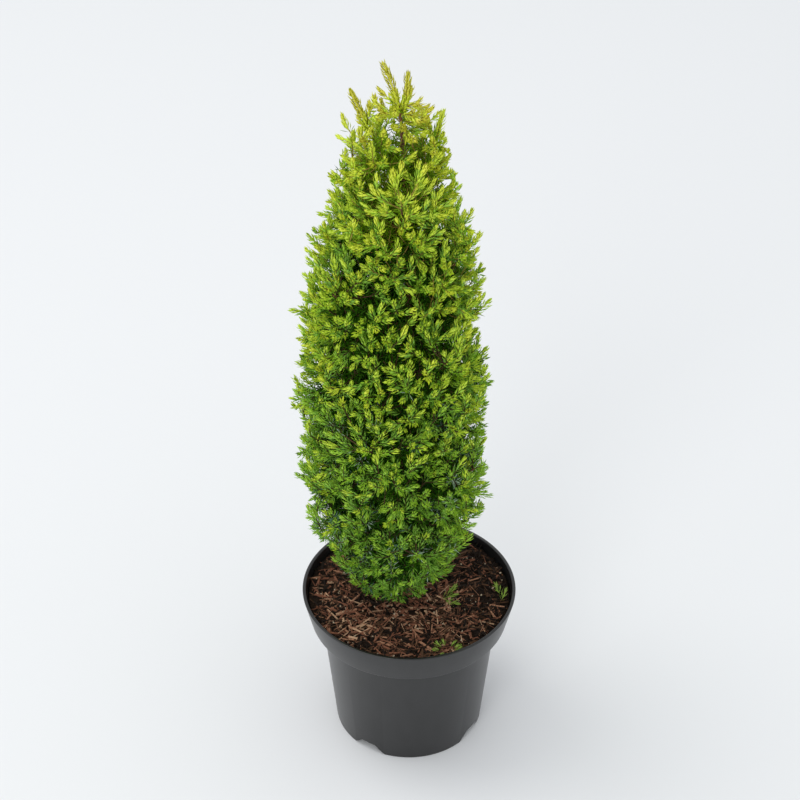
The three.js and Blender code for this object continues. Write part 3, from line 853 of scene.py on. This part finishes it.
# Meshes from rows of corners and triangles
def triangle_mesh(name, corners, triangles, smooth=False):
    mesh = bpy.data.meshes.new(name)
    mesh.vertices.add(len(corners))
    mesh.vertices.foreach_set("co", (np.asarray(corners) * MM).astype(np.float32).ravel())
    mesh.loops.add(3 * len(triangles))
    mesh.loops.foreach_set("vertex_index", np.asarray(triangles, np.int32).ravel())
    mesh.polygons.add(len(triangles))
    mesh.polygons.foreach_set("loop_start", np.arange(0, 3 * len(triangles), 3, dtype=np.int32))
    mesh.polygons.foreach_set("use_smooth", np.full(len(triangles), smooth))
    mesh.update(calc_edges=True)
    return mesh


def add_piece(name, mesh, material, nodes=()):
    piece = bpy.data.objects.new(name, mesh)
    bpy.context.scene.collection.objects.link(piece)
    mesh.materials.append(material)
    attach(piece, "root")
    if nodes:
        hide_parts(*nodes)


def repeat_faces(pattern, copies, corners_each):
    pattern = np.asarray(pattern)
    offsets = np.arange(copies) * corners_each
    return (pattern[None] + offsets[:, None, None]).reshape(-1, 3)


def tube_faces(rings, sides):
    """Triangles of a closed tube whose corners come ring by ring, followed by its two end points."""
    faces = []
    for ring in range(rings - 1):
        for side in range(sides):
            a, b = ring * sides + side, ring * sides + (side + 1) % sides
            faces += [(a, b, b + sides), (a, b + sides, a + sides)]
    last = (rings - 1) * sides
    for side in range(sides):
        following = (side + 1) % sides
        faces += [(rings * sides, following, side), (rings * sides + 1, last + side, last + following)]
    return faces


def tube_mesh_rows(paths, radii, sides):
    """Corners and triangles of many round limbs at once, from paths by limb and point and radii alike."""
    limbs, steps, _ = paths.shape
    tangents = unit(np.gradient(paths, axis=1))
    first, _ = cross_directions(tangents[:, :1])
    first = np.repeat(first, steps, 1)
    first = unit(first - tangents * np.sum(first * tangents, -1, keepdims=True))
    second = np.cross(tangents, first)
    turns = np.arange(sides) * 2 * np.pi / sides
    around = first[:, :, None] * np.cos(turns)[:, None] + second[:, :, None] * np.sin(turns)[:, None]
    rings = paths[:, :, None] + around * radii[:, :, None, None]
    ends = paths[:, [0, -1]]
    corners = np.concatenate([rings.reshape(limbs, -1, 3), ends], 1)
    return corners.reshape(-1, 3), repeat_faces(tube_faces(steps, sides), limbs, corners.shape[1])


# Needles
def whorl_rows(line, brush_length, rng, is_spike=False):
    """Where the whorls sit on one twig: fresh ones on the brush at its end and older ones below."""
    shares = np.linspace(0, 1, LINE_POINTS)
    path = bezier(line, shares)
    along = np.concatenate([[0], np.cumsum(np.linalg.norm(np.diff(path, axis=0), axis=1))])
    wood = along[-1] - TIP_OVERHANG * TIP_NEEDLE_LENGTH
    brush_length = min(brush_length, wood - LEAST_OLD_WOOD)
    height = crown_height(line[2, 2])
    brush_step = SPIKE_STEP if is_spike else between(*BRUSH_STEPS, height)
    brush = np.arange(wood, wood - brush_length, -brush_step)
    old = np.arange(wood - brush_length, max(BARE_BASE, wood - OLD_SPAN), -OLD_STEP)
    count = len(brush) + len(old)
    stations = np.concatenate([brush, old]) + rng.uniform(-WHORL_JITTER, WHORL_JITTER, count)
    t = np.interp(stations, along, shares)
    back = wood - stations
    fresh = np.arange(count) < len(brush)
    forward = np.interp(back, SPREAD_BACKS, SPREAD_DEGREES)
    openness = SPIKE_CLOSENESS if is_spike else between(*OPENNESS, height)
    spread = np.where(fresh, forward * openness, rng.uniform(*OLD_SPREAD_DEGREES, count))
    grown = np.interp(back, GROWN_BACKS, GROWN_LENGTHS)
    length = np.where(fresh, grown, OLD_NEEDLE_LENGTH) * rng.uniform(*LENGTH_SCATTER, count)
    fresh_width = SPIKE_WIDTH if is_spike else NEEDLE_WIDTH * between(*WIDTH_SHARES, height)
    width = np.where(fresh, fresh_width, OLD_NEEDLE_WIDTH)
    spin = rng.uniform(0, 2 * np.pi) + np.arange(count) * np.pi / WHORL_NEEDLES
    newest = back < NEW_SHARE * brush_length
    age = np.where(fresh, np.where(newest, NEW, GROWN), OLD)
    return SimpleNamespace(
        place=bezier(line, t), way=bezier_direction(line, t), spin=spin,
        spread=np.radians(spread), length=length, width=width, age=age)


def needle_corners(whorls, bow, rng):
    """Five corners of every needle: root, two edges, the keel between them and the point."""
    side, other = cross_directions(whorls.way)
    needles = []
    for k in range(WHORL_NEEDLES):
        turn = whorls.spin + k * 2 * np.pi / WHORL_NEEDLES + rng.normal(0, TURN_SCATTER, len(whorls.spin))
        spread = whorls.spread + rng.normal(0, SPREAD_SCATTER, len(turn))
        radial = np.cos(turn)[:, None] * side + np.sin(turn)[:, None] * other
        ahead = np.cos(spread)[:, None] * whorls.way + np.sin(spread)[:, None] * radial
        outer = np.cos(spread)[:, None] * radial - np.sin(spread)[:, None] * whorls.way
        across = np.cross(ahead, outer)
        length = (whorls.length * rng.uniform(*EACH_LENGTH, len(turn)))[:, None]
        root = whorls.place + NEEDLE_START * radial
        belly = root + ahead * NEEDLE_BELLY * length + outer * bow * length
        width = whorls.width[:, None]
        edge = across * width / 2
        keel = belly + outer * NEEDLE_KEEL * width
        needles.append(np.stack([root, belly + edge, belly - edge, keel, root + ahead * length], 1))
    return np.concatenate(needles)


KEELED_FACES = [(0, 1, 3), (0, 3, 2), (1, 4, 3), (3, 4, 2)]
INNER_FACES = [(0, 4, 1), (0, 2, 4)]
WHORL_FIELDS = ("place", "way", "spin", "spread", "length", "width")


def needle_mesh(name, parts, bow, faces, rng):
    whorls = SimpleNamespace(**{field: np.concatenate([getattr(part, field) for part in parts])
                                for field in WHORL_FIELDS})
    corners = needle_corners(whorls, bow, rng)
    return triangle_mesh(name, corners.reshape(-1, 3), repeat_faces(faces, len(corners), NEEDLE_CORNERS))


def aged(rows, age):
    """The whorls of one age on a twig."""
    return SimpleNamespace(**{field: getattr(rows, field)[rows.age == age] for field in WHORL_FIELDS})


def goldness(tip, rng):
    """How gold a shoot is: 0 at the green foot of the crown and 1 at the gold top, less in the shade."""
    outer = crown_distance(tip) / max(float(outline_at(tip)), 1)
    shade = SHADE_FADE * (min(outer, 1.0) - FULL_LIGHT)
    ripe = np.interp(crown_height(tip[2]), GOLD_HEIGHTS, GOLD_SHARES)
    return ripe + shade + rng.normal(0, GOLD_SCATTER)


def pick(names, share):
    names = list(names)
    return names[int(np.clip(share * len(names), 0, len(names) - 1))]


FRESH_LOOK = SimpleNamespace(bow=NEEDLE_BOW, faces=KEELED_FACES, gloss=0.45)
OLD_LOOK = SimpleNamespace(bow=0, faces=KEELED_FACES, gloss=0.1)
BLOOM_LOOK = SimpleNamespace(bow=0, faces=INNER_FACES, gloss=0.1)
NEEDLE_KINDS = ((FRESH_GREENS, FRESH_LOOK), (OLD_GREENS, OLD_LOOK), (SHADE_GREENS, OLD_LOOK),
                (BLOOM_GREYS, BLOOM_LOOK))


def deal_outer(twig, dealt, rng):
    """Deals the needles of an outer twig to colours, by their age and by how gold the twig is."""
    rows = whorl_rows(twig.line, twig.brush, rng, twig.is_spike)
    dealt[pick(FRESH_GREENS, NEW_PICK - twig.gold)].append(aged(rows, NEW))
    dealt[pick(FRESH_GREENS, GROWN_PICK - twig.gold)].append(aged(rows, GROWN))
    dealt[pick(OLD_GREENS, OLD_PICK - twig.gold + rng.normal(0, OLD_PICK_SCATTER))].append(aged(rows, OLD))
    if rng.uniform() > BLOOM_FALL * crown_height(twig.line[2, 2]):
        dealt[pick(BLOOM_GREYS, rng.uniform())].append(aged(rows, OLD))


def deal_inner(line, dealt, rng):
    """Deals the needles of an inner twig to the shade greens, or to olive in the top, as painted light
    falling into the crown there.
    """
    rows = whorl_rows(line, 0, rng)
    green = pick(SHADE_GREENS, SHADE_PICK - SHADE_PULL * goldness(line[2], rng))
    # Inner twigs high in the crown take the lighter olive: painted light where more light falls inside the
    # top
    gets_painted_light = crown_height(line[2, 2]) > PAINTED_LIGHT_HEIGHT
    dealt["olive" if gets_painted_light else green].append(aged(rows, OLD))


def add_needles(name, parts, colour, look, seed):
    mesh = needle_mesh(f"needles_{name}", parts, look.bow, look.faces, np.random.default_rng(seed))
    nodes = [mass.node for mass in masses]
    add_piece(f"needles_{name}", mesh, needle_finish(name, colour, look.gloss), nodes)


def add_foliage():
    rng = np.random.default_rng(FOLIAGE_SEED)
    dealt = {name: [] for colours, _ in NEEDLE_KINDS for name in colours}
    wood = {name: [] for name in TWIG_BROWNS}
    for mass in masses:
        twigs = grow_twigs(mass, rng)
        for twig in twigs.outer:
            deal_outer(twig, dealt, rng)
        for line in twigs.inner:
            deal_inner(line, dealt, rng)
        lines = [twig.line for twig in twigs.outer] + twigs.inner
        wood["young" if mass.rise > YOUNG_WOOD_RISE else "old"] += lines
    for colours, look in NEEDLE_KINDS:
        for seed, (name, colour) in enumerate(colours.items()):
            add_needles(name, dealt[name], colour, look, seed)
    for name, colour in TWIG_BROWNS.items():
        add_twigs(name, wood[name], colour)


def add_twigs(name, lines, colour):
    shares = np.linspace(0, TWIG_END, TWIG_POINTS)
    paths = np.array([bezier(line, shares) for line in lines])
    reach = np.linalg.norm(paths[:, -1] - paths[:, 0], axis=1)
    thick = TWIG_RADIUS + TWIG_THICKENING * reach
    radii = thick[:, None] * between(*TWIG_TAPER, shares)[None]
    corners, faces = tube_mesh_rows(paths, radii, TWIG_SIDES)
    mesh = triangle_mesh(f"twigs_{name}", corners, faces, smooth=True)
    add_piece(f"twigs_{name}", mesh, plain_finish(f"twig bark {name}", colour, roughness=0.8))


# Limbs with bark relief
def add_relief(corners, axis_points, depth):
    """Stringy ridges along a limb: each corner moves in or out from the limb's own line."""
    out = unit(corners - axis_points)
    lift = np.empty(len(corners))
    for i, (corner, way) in enumerate(zip(corners, out)):
        turn = RIDGE_TURNS * math.atan2(way[1], way[0])
        spot = Vector((RIDGE_SPREAD * math.cos(turn), RIDGE_SPREAD * math.sin(turn), corner[2] * RIDGE_PITCH))
        fine = Vector(corner) * GRAIN_PITCH
        lift[i] = noise.noise(spot * RIDGE_SCALE) + GRAIN_SHARE * noise.noise(fine)
    return corners + out * (depth * lift)[:, None]


def limb_mesh(name, paths, radii, sides, depth):
    corners, faces = tube_mesh_rows(paths, radii, sides)
    per_limb = np.repeat(paths[:, :, None], sides, 2).reshape(len(paths), -1, 3)
    axis_points = np.concatenate([per_limb, paths[:, [0, -1]]], 1).reshape(-1, 3)
    return triangle_mesh(name, add_relief(corners, axis_points, depth), faces, smooth=True)


def add_limbs():
    bark = bark_finish()
    t = np.linspace(0, 1, TRUNK_STEPS) ** FOOT_CROWDING
    mesh = limb_mesh("trunk_bark", trunk_point(t)[None], trunk_radius(t)[None], TRUNK_SIDES, TRUNK_RELIEF)
    add_piece("trunk_bark", mesh, bark, ["trunk"])
    shares = np.linspace(0, 1, BOUGH_STEPS)
    lengths = [shares * (LEADER_BARK_END if mass is leader else mass.stem_end) for mass in masses]
    paths = np.array([bezier(mass.line, t) for mass, t in zip(masses, lengths)])
    radii = np.array([bough_radius(mass.rise, t) for mass, t in zip(masses, lengths)])
    radii[-1] = LEADER_BARK_RADIUS * (LEADER_TAPER - lengths[-1])
    mesh = limb_mesh("bough_bark", paths, radii, BOUGH_SIDES, BOUGH_RELIEF)
    nodes = [f"bough_{index + 1:02d}" for index in range(BOUGH_COUNT)]
    add_piece("bough_bark", mesh, bark, nodes)


# Pot
def rounded_profile(corners):
    """A profile of radius, height and rounding, with every rounded corner drawn as a short curve."""
    points = []
    for i, (radius, z, rounding) in enumerate(corners):
        here = np.array([radius, z], float)
        if rounding == 0:
            points.append(here)
            continue
        before, after = (np.array(corners[j][:2], float) for j in (i - 1, i + 1))
        start = here + unit(before - here) * rounding
        end = here + unit(after - here) * rounding
        for share in np.linspace(0, 1, ROUNDING_POINTS):
            points.append(bezier(np.array([start, here, end]), share))
    return np.array(points)


def pot_profile():
    floor_top = FLOOR_LIFT + POT_WALL
    ledge_top = COLLAR_Z + POT_WALL
    return rounded_profile([
        (0, FLOOR_LIFT, 0),
        (BASE_RADIUS - FOOT_WIDTH, FLOOR_LIFT, FOOT_ROUNDING),
        (BASE_RADIUS - FOOT_WIDTH, 0, FOOT_ROUNDING),
        (BASE_RADIUS, 0, BASE_ROUNDING),
        (BODY_TOP_RADIUS, COLLAR_Z, STEP_ROUNDING),
        (COLLAR_FOOT_RADIUS, COLLAR_Z, COLLAR_ROUNDING),
        (RIM_RADIUS, POT_HEIGHT, LIP_ROUNDING),
        (RIM_RADIUS - LIP_WIDTH, POT_HEIGHT, LIP_ROUNDING),
        (COLLAR_FOOT_RADIUS - POT_WALL, ledge_top, INSIDE_ROUNDING),
        (BODY_TOP_RADIUS - POT_WALL, ledge_top, INSIDE_ROUNDING),
        (BASE_RADIUS - POT_WALL, floor_top, INSIDE_ROUNDING),
        (0, floor_top, 0),
    ])


def revolved(name, profile, sides):
    """A closed body turned round the pot's axis; the profile starts and ends on the axis."""
    turns = np.arange(sides) * 2 * np.pi / sides
    body = profile[1:-1]
    rings = np.stack([body[:, :1] * np.cos(turns), body[:, :1] * np.sin(turns),
                      np.repeat(body[:, 1:], sides, 1)], -1)
    corners = np.concatenate([rings.reshape(-1, 3), [(0, 0, profile[0, 1]), (0, 0, profile[-1, 1])]])
    return triangle_mesh(name, corners, tube_faces(len(body), sides), smooth=True)


def notch_cutters():
    """The four drain notches as one mesh of four prisms."""
    half = NOTCH_WIDTH / 2
    outline = [(-half - NOTCH_BELOW, -NOTCH_BELOW), (half + NOTCH_BELOW, -NOTCH_BELOW),
               (half - NOTCH_HEIGHT, NOTCH_HEIGHT), (NOTCH_HEIGHT - half, NOTCH_HEIGHT)]
    near = BASE_RADIUS + NOTCH_BELOW - NOTCH_REACH
    made = bmesh.new()
    for i in range(NOTCH_COUNT):
        turn = Matrix.Rotation(NOTCH_ANGLE + i * 2 * math.pi / NOTCH_COUNT, 3, "Z")
        rings = []
        for radius in (near, BASE_RADIUS + NOTCH_BEYOND):
            rings.append([made.verts.new(turn @ Vector((radius, y, z)) * MM) for y, z in outline])
        made.faces.new(reversed(rings[0]))
        made.faces.new(rings[1])
        for k in range(len(outline)):
            following = (k + 1) % len(outline)
            made.faces.new((rings[0][k], rings[0][following], rings[1][following], rings[1][k]))
    bmesh.ops.recalc_face_normals(made, faces=made.faces)
    mesh = bpy.data.meshes.new("notch_cutters")
    made.to_mesh(mesh)
    made.free()
    return mesh


def add_pot():
    mesh = revolved("pot_shell", pot_profile(), POT_SIDES)
    shell = bpy.data.objects.new("pot_shell", mesh)
    cutter = bpy.data.objects.new("notch_cutter", notch_cutters())
    for thing in (shell, cutter):
        bpy.context.scene.collection.objects.link(thing)
    cut = shell.modifiers.new("notches", "BOOLEAN")
    cut.object = cutter
    cut.operation = "DIFFERENCE"
    cut.solver = "EXACT"
    bpy.context.view_layer.update()
    ready = shell.evaluated_get(bpy.context.evaluated_depsgraph_get())
    notched = bpy.data.meshes.new_from_object(ready)
    bpy.data.objects.remove(shell)
    bpy.data.objects.remove(cutter)
    notched.materials.clear()
    notched.set_sharp_from_angle(angle=SHARP_ANGLE)
    add_piece("pot_shell", notched, pot_finish(), ["pot"])


# Soil
def soil_height(x, y):
    radius = np.hypot(x, y)
    share = np.clip((radius - SOIL_PAD_RADIUS) / (SOIL_EDGE_RADIUS - SOIL_PAD_RADIUS), 0, 1)
    bump = SOIL_BUMP * np.sin(2 * np.pi * x / SOIL_WAVE_X) * np.cos(2 * np.pi * y / SOIL_WAVE_Y)
    return between(SOIL_PAD_Z, SOIL_EDGE_Z, share) + bump * np.clip(4 * share * (1 - share), 0, 1)


def add_compost():
    """An uneven disc of rings round the trunk's foot, with a skirt that goes down inside the pot."""
    radii = np.linspace(0, SOIL_EDGE_RADIUS, COMPOST_RINGS + 1)[1:]
    turns = np.arange(COMPOST_SIDES) * 2 * np.pi / COMPOST_SIDES
    x = (radii[:, None] * np.cos(turns)).ravel()
    y = (radii[:, None] * np.sin(turns)).ravel()
    z = soil_height(x, y)
    for i in range(len(z)):
        clod = noise.noise(Vector((x[i], y[i], 0)) * CLOD_PITCH)
        crumb = noise.noise(Vector((x[i], y[i], CRUMB_PLANE)) * CRUMB_PITCH)
        z[i] += CLOD_HEIGHT * clod + CRUMB_HEIGHT * crumb
    top = np.stack([x, y, z], -1)
    skirt = top[-COMPOST_SIDES:] * (SKIRT_SHARE, SKIRT_SHARE, 1) - (0, 0, SKIRT_DEPTH)
    corners = np.concatenate([top, skirt, [(0, 0, SOIL_PAD_Z), (0, 0, SOIL_EDGE_Z - SKIRT_DEPTH)]])
    faces = np.array(tube_faces(COMPOST_RINGS + 1, COMPOST_SIDES))[:, ::-1]
    mesh = triangle_mesh("compost", corners, faces, smooth=True)
    add_piece("compost", mesh, compost_finish(), ["soil"])


def splinters(count, rng, size):
    """Corners of irregular slivers of bark that lie on the soil: eight each."""
    lengths, widths, heights = size
    radius = (SOIL_EDGE_RADIUS - SLIVER_EDGE_GAP) * np.sqrt(rng.uniform(*SLIVER_SPREAD, count))
    angle = rng.uniform(0, 2 * np.pi, count)
    x, y = radius * np.cos(angle), radius * np.sin(angle)
    length = rng.uniform(*lengths, count) * rng.uniform(*SLIVER_SHORTENING, count)
    length = np.minimum(length, 2 * (SOIL_EDGE_RADIUS - radius) + SLIVER_OVERHANG)
    width = rng.uniform(*widths, count)
    high = rng.uniform(*heights, count)
    yaw = rng.uniform(0, 2 * np.pi, count)
    pitch = rng.normal(0, SLIVER_PITCH, count)
    roll = rng.normal(0, SLIVER_ROLL, count)
    z = soil_height(x, y) + rng.uniform(*SLIVER_LIFT, count)
    ahead = np.stack([np.cos(yaw) * np.cos(pitch), np.sin(yaw) * np.cos(pitch), np.sin(pitch)], -1)
    level = np.stack([-np.sin(yaw), np.cos(yaw), np.zeros(count)], -1)
    upward = np.cross(ahead, level)
    side = level * np.cos(roll)[:, None] + upward * np.sin(roll)[:, None]
    top = np.cross(ahead, side)
    middle = np.stack([x, y, z], -1)
    corners = []
    for a in (-1, 1):
        for b in (-1, 1):
            for c in (-1, 1):
                along = a * length / 2 * rng.uniform(*LENGTH_WEAR, count)
                wide = b * width / 2 * rng.uniform(*WIDTH_WEAR, count)
                tall = c * high / 2 * rng.uniform(*HEIGHT_WEAR, count)
                corners.append(middle + ahead * along[:, None] + side * wide[:, None] + top * tall[:, None])
    return np.stack(corners, 1)


SPLINTER_FACES = [(0, 1, 3), (0, 3, 2), (4, 6, 7), (4, 7, 5), (0, 4, 5), (0, 5, 1),
                  (2, 3, 7), (2, 7, 6), (0, 2, 6), (0, 6, 4), (1, 5, 7), (1, 7, 3)]


def add_slivers(name, slivers, material):
    faces = repeat_faces(SPLINTER_FACES, len(slivers), slivers.shape[1])
    add_piece(name, triangle_mesh(name, slivers.reshape(-1, 3), faces), material)


def chip_kinds(slivers, rng):
    """Which brown each sliver has: in patches, and darker at the pot's edge and at the back right, which is
    painted shade along the pot's wall and under the crown.
    """
    places = slivers[:, 0]
    patches = np.array([noise.noise(Vector(place) * PATCH_PITCH) for place in places])
    edge = np.hypot(places[:, 0], places[:, 1]) / SOIL_EDGE_RADIUS
    back = np.clip((places[:, 0] + places[:, 1]) / SOIL_EDGE_RADIUS, 0, 1)
    scores = rng.uniform(size=len(slivers)) + PATCH_CONTRAST * patches
    # Painted shade: darker slivers along the pot's wall and at the back right under the crown
    scores -= RIM_PAINTED_SHADE * edge ** RIM_SHADE_SHARPNESS + BACK_PAINTED_SHADE * back
    ranks = np.argsort(np.argsort(scores)) / len(slivers)
    return np.searchsorted(np.cumsum(CHIP_SHARES[:-1]), ranks, side="right")


def add_mulch():
    rng = np.random.default_rng(MULCH_SEED)
    chips = splinters(CHIP_COUNT, rng, CHIP_SIZE)
    fibres = splinters(FIBRE_COUNT, rng, FIBRE_SIZE)
    slivers = np.concatenate([chips, fibres])
    kinds = chip_kinds(slivers, rng)
    for kind, (name, colour) in enumerate(CHIP_BROWNS.items()):
        add_slivers(f"bark_chips_{name}", slivers[kinds == kind], chip_finish(name, colour))
    grit = splinters(GRIT_COUNT, rng, GRIT_SIZE)
    add_slivers("pale_grit", grit, plain_finish("pale grit", srgb(178, 162, 138), roughness=0.8))


def lying_twig(x, y, angle, length):
    """A fallen shoot's line on the soil."""
    way = np.array([math.cos(angle), math.sin(angle), 0])
    foot = np.array([x, y, float(soil_height(x, y)) + LYING_HEIGHT])
    bend = foot + way * length * 0.5 + (0, 0, LYING_BEND)
    return np.array([foot, bend, foot + way * length + (0, 0, LYING_TIP)])


def add_fallen_sprigs():
    rng = np.random.default_rng(FALLEN_SEED)
    lines = [lying_twig(x, y, angle, FALLEN_LENGTH) for x, y, angle in FALLEN_SPRIGS]
    for k in range(TUFT_COUNT):
        turn = TUFT_TURN * k
        x, y = TUFT_X + TUFT_WIDTH * math.cos(turn), TUFT_Y + TUFT_DEPTH * math.sin(turn)
        lines.append(lying_twig(x, y, turn, TUFT_LENGTH))
    rows = [whorl_rows(line, BRUSH_LENGTH, rng) for line in lines]
    parts = [aged(row, age) for row in rows for age in (NEW, GROWN)]
    mesh = needle_mesh("fallen_sprigs", parts, FALLEN_BOW, KEELED_FACES, rng)
    green = plain_finish("fallen sprig green", srgb(124, 152, 56), roughness=0.7)
    add_piece("fallen_sprigs", mesh, green)


# Finishes
def new_material(name):
    material = bpy.data.materials.new(name)
    material.use_nodes = True
    return material, material.node_tree.nodes, material.node_tree.links


def plain_finish(name, colour, roughness, specular=0.35):
    material, nodes, _ = new_material(name)
    shader = nodes["Principled BSDF"]
    shader.inputs["Base Color"].default_value = colour
    shader.inputs["Roughness"].default_value = roughness
    shader.inputs["Specular IOR Level"].default_value = specular
    return material


def needle_finish(name, colour, gloss):
    return plain_finish(f"needle {name}", colour, roughness=0.5, specular=gloss)


def mottle_group():
    """Uneven colour and relief: a noise that can be drawn out along the height."""
    group = bpy.data.node_groups.new("mottle", "ShaderNodeTree")
    takes = {"Dark": "NodeSocketColor", "Light": "NodeSocketColor", "Scale": "NodeSocketFloat",
             "Height Stretch": "NodeSocketFloat"}
    gives = {"Color": "NodeSocketColor", "Height": "NodeSocketFloat"}
    for way, sockets in (("INPUT", takes), ("OUTPUT", gives)):
        for label, kind in sockets.items():
            group.interface.new_socket(name=label, in_out=way, socket_type=kind)
    nodes, links = group.nodes, group.links
    entry, leave = nodes.new("NodeGroupInput"), nodes.new("NodeGroupOutput")
    place = nodes.new("ShaderNodeTexCoord")
    stretch = nodes.new("ShaderNodeCombineXYZ")
    stretch.inputs["X"].default_value = 1
    stretch.inputs["Y"].default_value = 1
    links.new(entry.outputs["Height Stretch"], stretch.inputs["Z"])
    drawn = nodes.new("ShaderNodeVectorMath")
    drawn.operation = "MULTIPLY"
    links.new(place.outputs["Object"], drawn.inputs[0])
    links.new(stretch.outputs["Vector"], drawn.inputs[1])
    grain = nodes.new("ShaderNodeTexNoise")
    grain.inputs["Detail"].default_value = 6
    links.new(drawn.outputs["Vector"], grain.inputs["Vector"])
    links.new(entry.outputs["Scale"], grain.inputs["Scale"])
    sharpen = nodes.new("ShaderNodeMapRange")
    sharpen.inputs["From Min"].default_value = 0.3
    sharpen.inputs["From Max"].default_value = 0.68
    links.new(grain.outputs["Fac"], sharpen.inputs["Value"])
    blend = nodes.new("ShaderNodeMix")
    blend.data_type = "RGBA"
    # The mix node's sockets for colours share their names with its other sockets, so they go by number
    first_colour, second_colour, mixed_colour = 6, 7, 2
    links.new(sharpen.outputs["Result"], blend.inputs["Factor"])
    links.new(entry.outputs["Dark"], blend.inputs[first_colour])
    links.new(entry.outputs["Light"], blend.inputs[second_colour])
    links.new(blend.outputs[mixed_colour], leave.inputs["Color"])
    links.new(sharpen.outputs["Result"], leave.inputs["Height"])
    return group


MOTTLE = mottle_group()


def mottled_finish(name, dark, light, scale, roughness, bump, depth, stretch=1.0, specular=0.3):
    """A finish with uneven colour and relief; the depth of the relief is in metres."""
    material, nodes, links = new_material(name)
    shader = nodes["Principled BSDF"]
    shader.inputs["Roughness"].default_value = roughness
    shader.inputs["Specular IOR Level"].default_value = specular
    mottle = nodes.new("ShaderNodeGroup")
    mottle.node_tree = MOTTLE
    for label, value in {"Dark": dark, "Light": light, "Scale": scale, "Height Stretch": stretch}.items():
        mottle.inputs[label].default_value = value
    links.new(mottle.outputs["Color"], shader.inputs["Base Color"])
    relief = nodes.new("ShaderNodeBump")
    relief.inputs["Strength"].default_value = bump
    relief.inputs["Distance"].default_value = depth
    links.new(mottle.outputs["Height"], relief.inputs["Height"])
    links.new(relief.outputs["Normal"], shader.inputs["Normal"])
    return material


def bark_finish():
    return mottled_finish("stringy bark", srgb(72, 48, 34), srgb(148, 104, 74), scale=500, roughness=0.85,
                          bump=0.6, depth=0.0006, stretch=0.12)


def pot_finish():
    return mottled_finish("black pot plastic", srgb(15, 15, 16), srgb(23, 23, 24), scale=90, roughness=0.33,
                          bump=0.06, depth=0.0004, stretch=0.4, specular=0.6)


def compost_finish():
    return mottled_finish("compost", srgb(16, 11, 7), srgb(46, 33, 23), scale=260, roughness=0.95,
                          bump=0.8, depth=0.0015, specular=0.15)


def chip_finish(name, colour):
    dark = tuple(CHIP_SHADE * value for value in colour[:3]) + (1,)
    return mottled_finish(f"bark chip {name}", dark, colour, scale=700, roughness=0.85,
                          bump=0.5, depth=0.0005, specular=0.2)


# Floor, light and camera
def add_floor():
    turns = np.arange(FLOOR_SIDES) * 2 * np.pi / FLOOR_SIDES
    rim = FLOOR_RADIUS * np.stack([np.cos(turns), np.sin(turns), np.zeros(FLOOR_SIDES)], -1)
    faces = [(0, side, side + 1) for side in range(1, FLOOR_SIDES - 1)]
    mesh = triangle_mesh("floor", rim, faces)
    floor = bpy.data.objects.new("floor", mesh)
    bpy.context.scene.collection.objects.link(floor)
    mesh.materials.append(plain_finish("pale floor", srgb(228, 230, 232), roughness=0.9, specular=0.1))


def add_area_light(name, place, target, size, power, colour):
    """A round soft light; its place, target and size are in metres."""
    lamp = bpy.data.lights.new(name, "AREA")
    lamp.shape = "DISK"
    lamp.size = size
    lamp.energy = power
    lamp.color = colour
    light = bpy.data.objects.new(name, lamp)
    bpy.context.scene.collection.objects.link(light)
    light.location = place
    light.rotation_euler = (Vector(target) - Vector(place)).to_track_quat("-Z", "Y").to_euler()


def add_lights():
    world = bpy.data.worlds.new("soft studio")
    bpy.context.scene.world = world
    world.use_nodes = True
    sky = world.node_tree.nodes["Background"]
    sky.inputs["Color"].default_value = (0.97, 0.985, 1.0, 1)
    sky.inputs["Strength"].default_value = 0.9
    middle = (0, 0, 0.35)
    add_area_light("key", (-1.9, 0.5, 4.2), middle, size=2.4, power=46, colour=(1.0, 0.98, 0.95))
    add_area_light("fill", (-1.4, -3.2, 2.6), middle, size=1.8, power=34, colour=(1.0, 0.99, 0.97))


def add_camera():
    lens = bpy.data.cameras.new("photo view")
    lens.lens = LENS_MM
    lens.sensor_width = SENSOR_MM
    camera = bpy.data.objects.new("photo view", lens)
    bpy.context.scene.collection.objects.link(camera)
    camera.location = Vector(CAMERA_PLACE) * MM
    camera.rotation_euler = Vector(CAMERA_DIRECTION).to_track_quat("-Z", "Y").to_euler()
    bpy.context.scene.camera = camera


bpy.context.scene.view_settings.view_transform = "Standard"
add_camera()
add_lights()
add_floor()
add_pot()
add_compost()
add_mulch()
add_fallen_sprigs()
add_limbs()
add_foliage()
